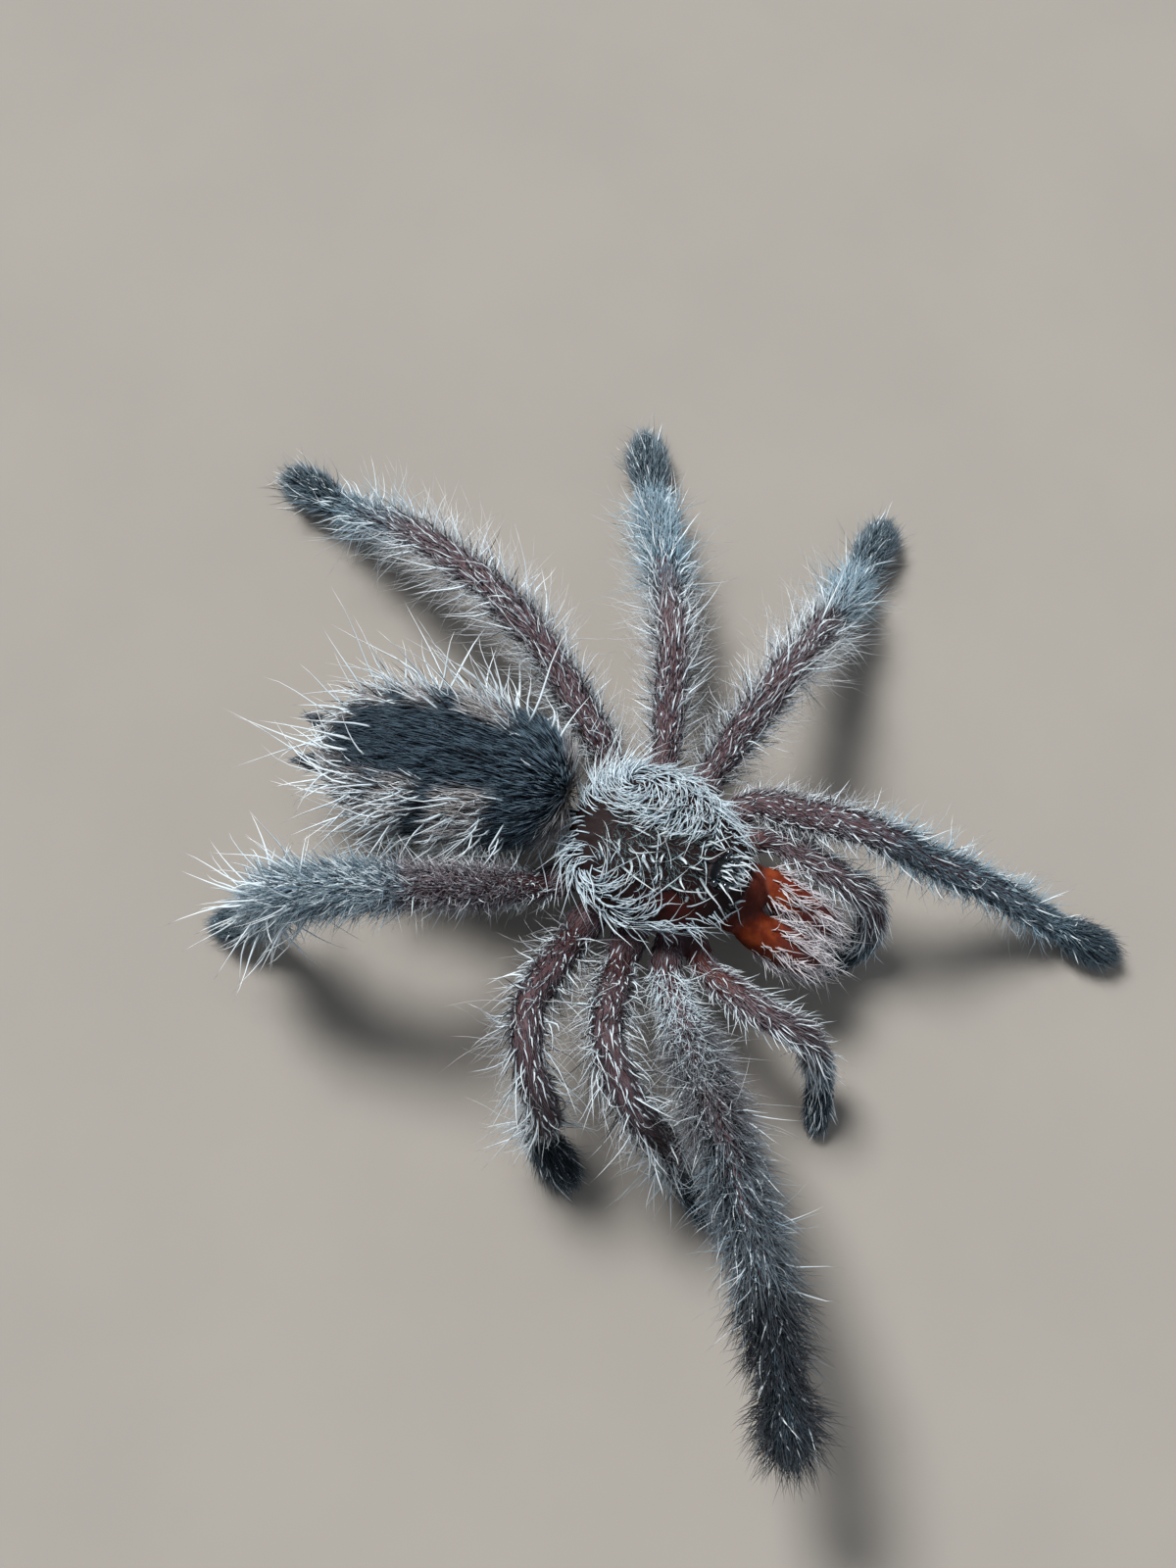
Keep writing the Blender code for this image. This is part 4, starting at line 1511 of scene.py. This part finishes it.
@dataclass
class LegPatch(SideFringe):
    """Hairs along a length of one or two legs."""

    only: tuple[str, ...] = ()
    shorten: float = 0.0
    settle: float = 0.0
    trimmed_legs: tuple[str, ...] = ()

    def wants(self, surface: Surface) -> bool:
        """Whether these hairs grow on a surface."""
        return surface.name in self.only


@dataclass
class AbdomenVelvet(Coat):
    """Short fine hairs all over the abdomen, dark in the band and bars and cream between them."""

    slot: str = "abdomen"
    regions: tuple[Region, ...] = (Region.ABDOMEN, Region.SPINNERET)
    stand: float = 10.0
    tuft_stand: float = 9.0
    pale_stand: float = 12.0
    spinneret_comb: Triple = (1.0, 0.6, 20.0)

    def comb(self, surface: Surface) -> Comb:
        """Comb the abdomen and the spinnerets towards the tail.

        Args:
            surface: The surface to comb.

        Returns:
            How the hairs stand on it.
        """
        lie, bend = self.flow(surface)
        if surface.region is Region.SPINNERET:
            cover, reach, stand = self.spinneret_comb
            return Comb(cover, reach, math.radians(stand), lie, bend, 0.8)
        dark = surface.mask("dark")
        tuft = ease(-0.3, 0.3, ripple(surface.points, 0.8, 3.0))
        reach = 0.75 + 0.35 * tuft + 0.25 * (1.0 - dark)
        stand = math.radians(self.stand) + math.radians(self.tuft_stand) * tuft
        stand = stand + math.radians(self.pale_stand) * (1.0 - dark)
        return Comb(0.8 + 0.2 * dark, reach, stand, lie, bend, dark)


@dataclass
class AbdomenBristles(Coat):
    """Long bristles down the abdomen's sides and round its tail."""

    slot: str = "abdomen"
    regions: tuple[Region, ...] = (Region.ABDOMEN,)
    stand: float = 58.0
    back: float = 0.05
    flanks: float = 0.8
    tail: float = 0.56
    light: float = 0.0

    def comb(self, surface: Surface) -> Comb:
        """Comb the bristles back and outwards.

        Args:
            surface: The surface to comb.

        Returns:
            How the hairs stand on it.
        """
        dark, turn = surface.mask("dark"), np.abs(surface.turn)
        side, rear = ease(0.45, 0.9, turn), ease(0.45, 0.85, surface.place)
        cover = self.back + self.flanks * side * (1.0 - 0.75 * dark) + self.tail * rear * (1.0 - 0.5 * dark)
        cover = np.clip(cover + self.light * (1.0 - dark), 0.0, 1.0) * ease(-0.95, -0.75, surface.place)
        cover = cover * (1.0 - 0.6 * ease(2.2, 2.8, turn))
        edge = np.maximum(side, rear)
        lie, bend = self.flow(surface)
        stand = math.radians(self.stand) * (0.65 + 0.35 * edge)
        return Comb(cover, 0.7 + 0.3 * edge, stand, lie, bend + 0.1 * surface.out)


@dataclass
class HeadHairs(Coat):
    """Hairs on the head and down the middle of the shield, between the two whorls."""

    slot: str = "carapace"
    regions: tuple[Region, ...] = (Region.CARAPACE,)
    middle: tuple[float, float] = (2.4, 1.2)
    rear: float = 3.2
    stand: float = 24.0

    def comb(self, surface: Surface) -> Comb:
        """Comb the shield's middle towards the eyes.

        Args:
            surface: The surface to comb.

        Returns:
            How the hairs stand on it.
        """
        x, y, _ = parts(surface.points)
        cover = ease(*self.middle, np.abs(x + 0.2) - 0.5 * ease(0.0, -2.5, y)) * ease(-3.0, -1.9, y)
        cover = cover * ease(self.rear, self.rear - 1.0, y) * ease(0.2, 0.6, surface.out[..., 2])
        cover = cover * (1.0 - 0.85 * ease(0.3, 0.8, surface.mask("warm")))
        lie = laid(vectors(0.5 * np.sign(x), -1.0, 0.0), surface.out)
        return Comb(cover, 1.0, math.radians(self.stand), lie, -0.3 * surface.out)


@dataclass
class EyeTuft(Coat):
    """Short pale bristles between and in front of the eyes, pointing forwards."""

    slot: str = "carapace"
    regions: tuple[Region, ...] = (Region.TURRET, Region.CARAPACE)
    stand: float = 38.0
    front_stand: float = 26.0

    def comb(self, surface: Surface) -> Comb:
        """Comb the eye mound and the shield's front edge forwards.

        Args:
            surface: The surface to comb.

        Returns:
            How the hairs stand on it.
        """
        out = surface.out
        lie = laid(np.array([0.0, -1.0, 0.15]) + np.zeros(surface.points.shape), out)
        if surface.region is Region.TURRET:
            cover = ease(0.1, 0.6, out[..., 2] - 0.6 * out[..., 1])
            return Comb(0.8 * cover, 1.0, math.radians(self.stand), lie, 0.1 * lie)
        cover = ease(-3.9, -4.3, surface.points[..., 1]) * ease(-0.2, 0.3, out[..., 2])
        return Comb(0.06 * cover, 1.15, math.radians(self.front_stand), lie, 0.1 * lie)


@dataclass
class BellyDown(Coat):
    """Short hairs over the breastplate, between the legs."""

    stand: float = 25.0

    def wants(self, surface: Surface) -> bool:
        """Whether these hairs grow on a surface."""
        return surface.name == "sternum"

    def comb(self, surface: Surface) -> Comb:
        """Comb the breastplate towards the tail."""
        cover = ease(0.0, -0.3, surface.out[..., 2])
        return Comb(cover, 1.0, math.radians(self.stand), *self.flow(surface))


@dataclass
class JawRows(Coat):
    """Long pale hairs in rows along the jaws, pointing forwards, with bare cuticle between the rows."""

    slot: str = "jaw"
    regions: tuple[Region, ...] = (Region.JAW,)
    rows: int = 7
    starts: tuple[float, float] = (0.12, 0.34)
    stand: float = 13.0
    rear_stand: float = 9.0

    def comb(self, surface: Surface) -> Comb:
        """Comb the jaws forwards.

        Args:
            surface: The surface to comb.

        Returns:
            How the hairs stand on it.
        """
        place = surface.place
        stripe = 0.5 + 0.5 * np.cos(surface.turn * self.rows + 0.9 * surface.side)
        start = self.starts[0 if surface.side > 0.0 else 1]
        cover = ease(0.28, 0.7, stripe) * ease(start - 0.1, start + 0.12, place)
        cover = cover * (1.0 - 0.5 * ease(1.9, 2.6, np.abs(surface.turn)))
        drift = self.tuft * ripple(surface.points, 0.8, 2.0)[..., None] * surface.across
        lie = unit_rows(drift - surface.ahead)
        stand = math.radians(self.stand) + math.radians(self.rear_stand) * place
        return Comb(cover, 0.7 + 0.4 * place, stand, lie, 0.12 * lie - 0.1 * surface.out)


# Eyes and fangs

@dataclass
class Eyes:
    """Eight glossy eyes on the eye mound."""

    habitat: Habitat
    mound: Triple = (0.0, -3.3, 8.7)
    grid: tuple[int, int] = (24, 16)
    places: dict[str, tuple[float, float, float, float]] = field(default_factory=lambda: {
        "front_middle": (0.3, -0.34, 0.52, 0.24), "front_side": (0.74, -0.36, 0.26, 0.22),
        "rear_middle": (0.46, 0.16, 0.5, 0.15), "rear_side": (0.84, 0.18, 0.24, 0.19)})

    def build(self) -> None:
        """Build every eye."""
        finish = EYE_FINISH.material()
        for place, (spacing, along, height, radius) in self.places.items():
            for word, side in SIDES:
                bm = bmesh.new()
                across, upward = self.grid
                bmesh.ops.create_uvsphere(bm, u_segments=across, v_segments=upward, radius=radius)
                centre = Vector(self.mound) + Vector((side * spacing, along, height))
                bmesh.ops.translate(bm, vec=centre, verts=bm.verts)
                mesh = bpy.data.meshes.new("eye")
                bm.to_mesh(mesh)
                bm.free()
                mesh.shade_smooth()
                mesh.materials.append(finish)
                self.habitat.finish(f"lens_{place}_{word}", mesh, "eye", f"eye_{place}_{word}")


@dataclass
class Fangs:
    """Two curved fangs, folded back under the jaws."""

    habitat: Habitat
    spider: Spider
    line: tuple[Triple, ...] = ((0.0, -2.35, -0.75), (0.0, -2.65, -1.25), (0.0, -2.5, -1.75),
                                (0.0, -1.7, -2.1), (0.0, -0.7, -2.18), (0.0, 0.1, -2.02))
    radii: tuple[float, ...] = (0.3, 0.31, 0.28, 0.22, 0.13, 0.02)

    def guide(self, side: float) -> bpy.types.Curve:
        """One fang as a curve that is thick at its root and thin at its tip.

        Args:
            side: 1 for the animal's left, -1 for its right.

        Returns:
            The curve.
        """
        curve = bpy.data.curves.new("fang", "CURVE")
        for name, value in (("dimensions", "3D"), ("bevel_depth", 1.0), ("bevel_resolution", 5),
                            ("use_fill_caps", True), ("resolution_u", 8)):
            setattr(curve, name, value)
        spline = curve.splines.new("NURBS")
        spline.points.add(len(self.line) - 1)
        spline.use_endpoint_u = True
        spline.order_u = 4
        matrix = self.spider.jaw_matrix(side)
        for target, point, radius in zip(spline.points, self.line, self.radii):
            target.co = (*(matrix @ Vector(point)), 1.0)
            target.radius = radius
        return curve

    def build(self) -> None:
        """Build both fangs."""
        finish = FANG_FINISH.material()
        for word, side in SIDES:
            mesh = baked(Habitat.link("fang_guide", self.guide(side)))
            bm = bmesh.new()
            bm.from_mesh(mesh)
            bmesh.ops.remove_doubles(bm, verts=bm.verts, dist=1e-4)
            bmesh.ops.recalc_face_normals(bm, faces=bm.faces)
            bm.to_mesh(mesh)
            bm.free()
            mesh.shade_smooth()
            mesh.materials.clear()
            mesh.materials.append(finish)
            self.habitat.finish(f"curved_fang_{word}", mesh, "fang", f"fang_{word}")


# Studio

@dataclass(frozen=True)
class Lamp:
    """A far, broad light; its way is given along the camera's right, up and back, and wider is softer."""

    name: str
    way: Triple
    width_degrees: float
    strength: float
    colour: Colour


@dataclass
class Studio:
    """Floor, soft lights and camera."""

    habitat: Habitat
    azimuth: float = -87.66
    elevation: float = 72.34
    roll: float = 24.5
    distance: float = 110.0
    aim: Triple = (0.0, 0.0, 5.6)
    offset: tuple[float, float] = (-3.2233, 3.55825)
    lens: float = 50.985
    sensor: float = 36.0
    clip: tuple[float, float] = (0.002, 10.0)
    floor_size: float = 8.0
    lamps: tuple[Lamp, ...] = (Lamp("key", (-0.35, 0.75, 0.75), 20.0, 4.35, (1.0, 0.985, 0.96)),
                               Lamp("fill", (0.8, -0.5, 0.7), 45.0, 0.35, (0.9, 0.95, 1.0)))
    air: float = 0.21
    air_colour: Colour = (0.86, 0.92, 1.0)

    def axes(self) -> tuple[Vector, Vector, Vector]:
        """The camera's right, up and backward directions.

        Returns:
            The three directions, at length 1.
        """
        turn, rise, roll = (math.radians(value) for value in (self.azimuth, self.elevation, self.roll))
        back = Vector((math.sin(turn) * math.cos(rise), -math.cos(turn) * math.cos(rise), math.sin(rise)))
        level = Vector((math.cos(turn), math.sin(turn), 0.0))
        upright = back.cross(level)
        right = level * math.cos(roll) + upright * math.sin(roll)
        up = -level * math.sin(roll) + upright * math.cos(roll)
        return right, up, back

    def camera(self) -> None:
        """Build the camera."""
        right, up, back = self.axes()
        data = bpy.data.cameras.new("view")
        data.sensor_fit = "VERTICAL"
        data.sensor_height = self.sensor
        data.lens = self.lens
        data.clip_start, data.clip_end = self.clip
        made = Habitat.link("view", data)
        spot = Vector(self.aim) + back * self.distance + right * self.offset[0] + up * self.offset[1]
        turn = Matrix((right, up, back)).transposed().to_4x4()
        made.matrix_world = Matrix.Translation(spot * MILLIMETRE + self.habitat.shift) @ turn
        bpy.context.scene.camera = made

    def floor(self) -> None:
        """Build the floor."""
        half = 0.5 * self.floor_size
        mesh = bpy.data.meshes.new("studio_floor")
        mesh.from_pydata([(-half, -half, 0.0), (half, -half, 0.0), (half, half, 0.0), (-half, half, 0.0)], [],
                         [(0, 1, 2, 3)])
        mesh.materials.append(FLOOR_FINISH.material())
        made = Habitat.link("studio_floor", mesh)

    def hang(self, lamp: Lamp) -> None:
        """Hang a light.

        Args:
            lamp: What it is like.
        """
        data = bpy.data.lights.new(lamp.name, "SUN")
        data.angle = math.radians(lamp.width_degrees)
        data.energy = lamp.strength
        data.color = lamp.colour
        made = Habitat.link(lamp.name, data)
        right, up, back = (axis * share for axis, share in zip(self.axes(), lamp.way))
        way = (up + right + back).normalized()
        made.location = way
        made.rotation_euler = way.to_track_quat("Z", "Y").to_euler()

    def build(self) -> None:
        """Build the studio."""
        self.camera()
        self.floor()
        for lamp in self.lamps:
            self.hang(lamp)
        world = bpy.data.worlds.new("studio_air")
        world.use_nodes = True
        background = world.node_tree.nodes["Background"]
        background.inputs["Color"].default_value = (*self.air_colour, 1.0)
        background.inputs["Strength"].default_value = self.air
        bpy.context.scene.world = world
        bpy.context.scene.view_settings.view_transform = "Standard"


# The coat's pieces: after the finish come length, width, spacing, density, scatter, curl, sections and seed.

def body_coats(carapace: Carapace) -> list[Coat]:
    """The coat of the shield, the head, the abdomen, the breastplate and the jaws.

    Args:
        carapace: The shield.

    Returns:
        The pieces.
    """
    return [
        ShieldCurls("shield_curls", SHIELD_HAIR, 2.1, 0.046, 0.125, 58.0, 0.36, 0.48, 6, 21, 0.55,
                    shield=carapace),
        HeadHairs("head_down", TEAL_HAIR, 0.65, 0.024, 0.11, 60.0, 0.75, 0.55, 3, 24),
        HeadHairs("head_bristles", PALE_HAIR, 1.5, 0.095, 0.46, 3.8, 0.55, 0.8, 7, 23,
                  middle=(2.0, 1.0), rear=2.6),
        EyeTuft("eye_tuft", WHITE_HAIR, 0.95, 0.078, 0.18, 30.0, 0.32, 0.35, 5, 25),
        EyeTuft("eye_down", TEAL_HAIR, 0.42, 0.024, 0.08, 120.0, 0.5, 0.3, 3, 26),
        BellyDown("belly_down", DOWN_HAIR, 0.8, 0.032, 0.11, 80.0, 0.2, 0.12, 2, 27),
        AbdomenVelvet("abdomen_velvet", VELVET_HAIR, 1.25, 0.038, 0.085, 130.0, 0.22, 0.14, 2, 31),
        AbdomenBristles("abdomen_bristles", WHITE_HAIR, 3.6, 0.072, 0.4, 6.2, 0.3, 0.56, 6, 41, 0.5,
                        stand=66.0),
        AbdomenBristles("abdomen_fringe", WHITE_HAIR, 1.35, 0.05, 0.18, 26.0, 0.3, 0.55, 4, 43, 0.5,
                        stand=42.0, back=0.0, flanks=0.1, tail=0.1, light=0.8),
        AbdomenBristles("abdomen_black", BLACK_HAIR, 2.0, 0.045, 0.55, 3.0, 0.28, 0.24, 5, 45,
                        stand=50.0, back=0.45, flanks=0.5),
        JawRows("jaw_rows", JAW_HAIR, 1.45, 0.05, 0.1, 74.0, 0.24, 0.7, 4, 51, 0.45)]


def leg_coats(word: str, side: float) -> list[Coat]:
    """The coat of one side's legs: down in two pieces, then fringe, dashes, black hairs and bristles.

    Args:
        word: The side, in words.
        side: 1 for the animal's left, -1 for its right.

    Returns:
        The pieces.
    """
    if side > 0.0:
        seed, fringe, pairs = 60, 0.8, {"front": (1, 2), "rear": (3, 4)}
    else:
        seed, fringe, pairs = 80, 0.32, {"outer": (1, 4), "inner": (2, 3)}
    made: list[Coat] = []
    for pair, legs in pairs.items():
        # On the right, legs 2 and 3 take the darker down: painted shade.
        made.append(LegPatch(f"leg_down_{pair}_{word}", SHADED_DOWN_HAIR if pair == "inner" else DOWN_HAIR,
                             0.62, 0.023, 0.078, 170.0, 0.24, 0.25, 2, seed + legs[0], at=(0.6, 0.65, 0.6),
                             stand=22.0, start=0.25, distal=1.7, shorten=-0.6, settle=-0.6,
                             only=tuple(f"{word}_leg_{leg}" for leg in legs)))
    return made + [
        SideFringe(f"leg_fringe_{word}", FRINGE_HAIR, 2.4, 0.021, 0.11, 80.0, 0.34, 0.66, 4, seed + 5, 0.55,
                   side=side, at=(0.0, fringe, 0.35), stand=66.0),
        SideFringe(f"leg_dashes_{word}", WHITE_HAIR, 0.9, 0.052, 0.3, 9.0, 0.2, 0.5, 3, seed + 7, 0.45,
                   side=side, at=(1.0, 0.3, 0.2), stand=15.0, distal=2.0, shorten=0.0),
        SideFringe(f"leg_black_{word}", BLACK_HAIR, 1.5, 0.04, 0.34, 6.0, 0.34, 0.5, 5, seed + 8,
                   side=side, at=(0.5, 1.0, 0.0), stand=58.0, distal=0.3),
        SideFringe(f"leg_bristles_{word}", WHITE_HAIR, 2.2, 0.056, 0.25, 14.0, 0.34, 0.62, 5, seed + 6, 0.55,
                   side=side, at=(0.1, 0.75, 0.25), stand=54.0)]


def patch_coats() -> list[Coat]:
    """The crest of the right fourth leg, the raised leg's coat, the left feet's fluff and the palps' coat.

    Returns:
        The pieces.
    """
    crest, raised, palps = ("right_leg_4",), ("right_leg_1",), (Region.PALP,)
    return [
        LegPatch("thigh_down", DOWN_HAIR, 1.15, 0.028, 0.085, 140.0, 0.28, 0.4, 3, 120, at=(0.7, 1.0, 0.5),
                 stand=44.0, only=crest, span=(1.3, 2.9)),
        LegPatch("crest_down", CREST_HAIR, 1.7, 0.032, 0.08, 170.0, 0.26, 0.36, 3, 121, at=(0.9, 1.0, 0.5),
                 stand=56.0, only=crest, span=(2.7, 4.5)),
        LegPatch("crest_dashes", SHIELD_HAIR, 1.3, 0.058, 0.13, 44.0, 0.22, 0.4, 4, 125, at=(1.0, 1.0, 0.4),
                 stand=27.0, only=crest, span=(2.6, 4.6)),
        LegPatch("raised_base", SHIELD_HAIR, 1.35, 0.03, 0.1, 75.0, 0.42, 0.7, 4, 126, at=(1.0, 0.8, 0.3),
                 stand=40.0, only=raised, span=(0.95, 2.0)),
        LegPatch("crest_bristles", WHITE_HAIR, 3.9, 0.078, 0.3, 9.0, 0.36, 0.36, 6, 122, 0.45,
                 at=(0.9, 0.9, 0.7), stand=68.0, only=crest, span=(3.55, 4.6)),
        LegPatch("leg_fluff", FRINGE_HAIR, 1.25, 0.023, 0.085, 95.0, 0.32, 0.4, 3, 124, at=(0.75, 1.0, 0.4),
                 stand=46.0, only=("left_leg_2", "left_leg_3"), span=(3.7, 5.9), shorten=0.3, settle=0.2),
        LegPatch("raised_down", SMOKE_HAIR, 2.1, 0.027, 0.075, 180.0, 0.3, 0.25, 3, 123, at=(0.6, 1.0, 0.7),
                 stand=60.0, only=raised, span=(1.5, 6.3), shorten=0.1, settle=-0.2),
        SideFringe("palp_down", DOWN_HAIR, 0.75, 0.024, 0.082, 150.0, 0.24, 0.2, 2, 101, at=(0.8, 0.9, 0.7),
                   stand=32.0, regions=palps, start=0.7, distal=1.5, shorten=0.2, settle=0.0),
        SideFringe("palp_bristles", WHITE_HAIR, 1.45, 0.042, 0.17, 30.0, 0.32, 0.32, 5, 102, 0.5,
                   at=(0.4, 0.8, 0.3), stand=46.0, regions=palps, start=0.8)]


def main() -> None:
    """Build the spider and the studio."""
    logging.basicConfig(level=logging.INFO, format="%(message)s")
    spider = Spider()
    habitat = Habitat(spider.carapace)
    Studio(habitat).build()
    surfaces = spider.surfaces()
    skin = Skin(habitat).build(surfaces)
    Eyes(habitat).build()
    Fangs(habitat, spider).build()
    hairs = HairTree()
    legs = [coat for side in SIDES for coat in leg_coats(*side)]
    for coat in body_coats(spider.carapace) + legs + patch_coats():
        coat.build(habitat, hairs, surfaces, skin)


if __name__ == "__main__":
    main()
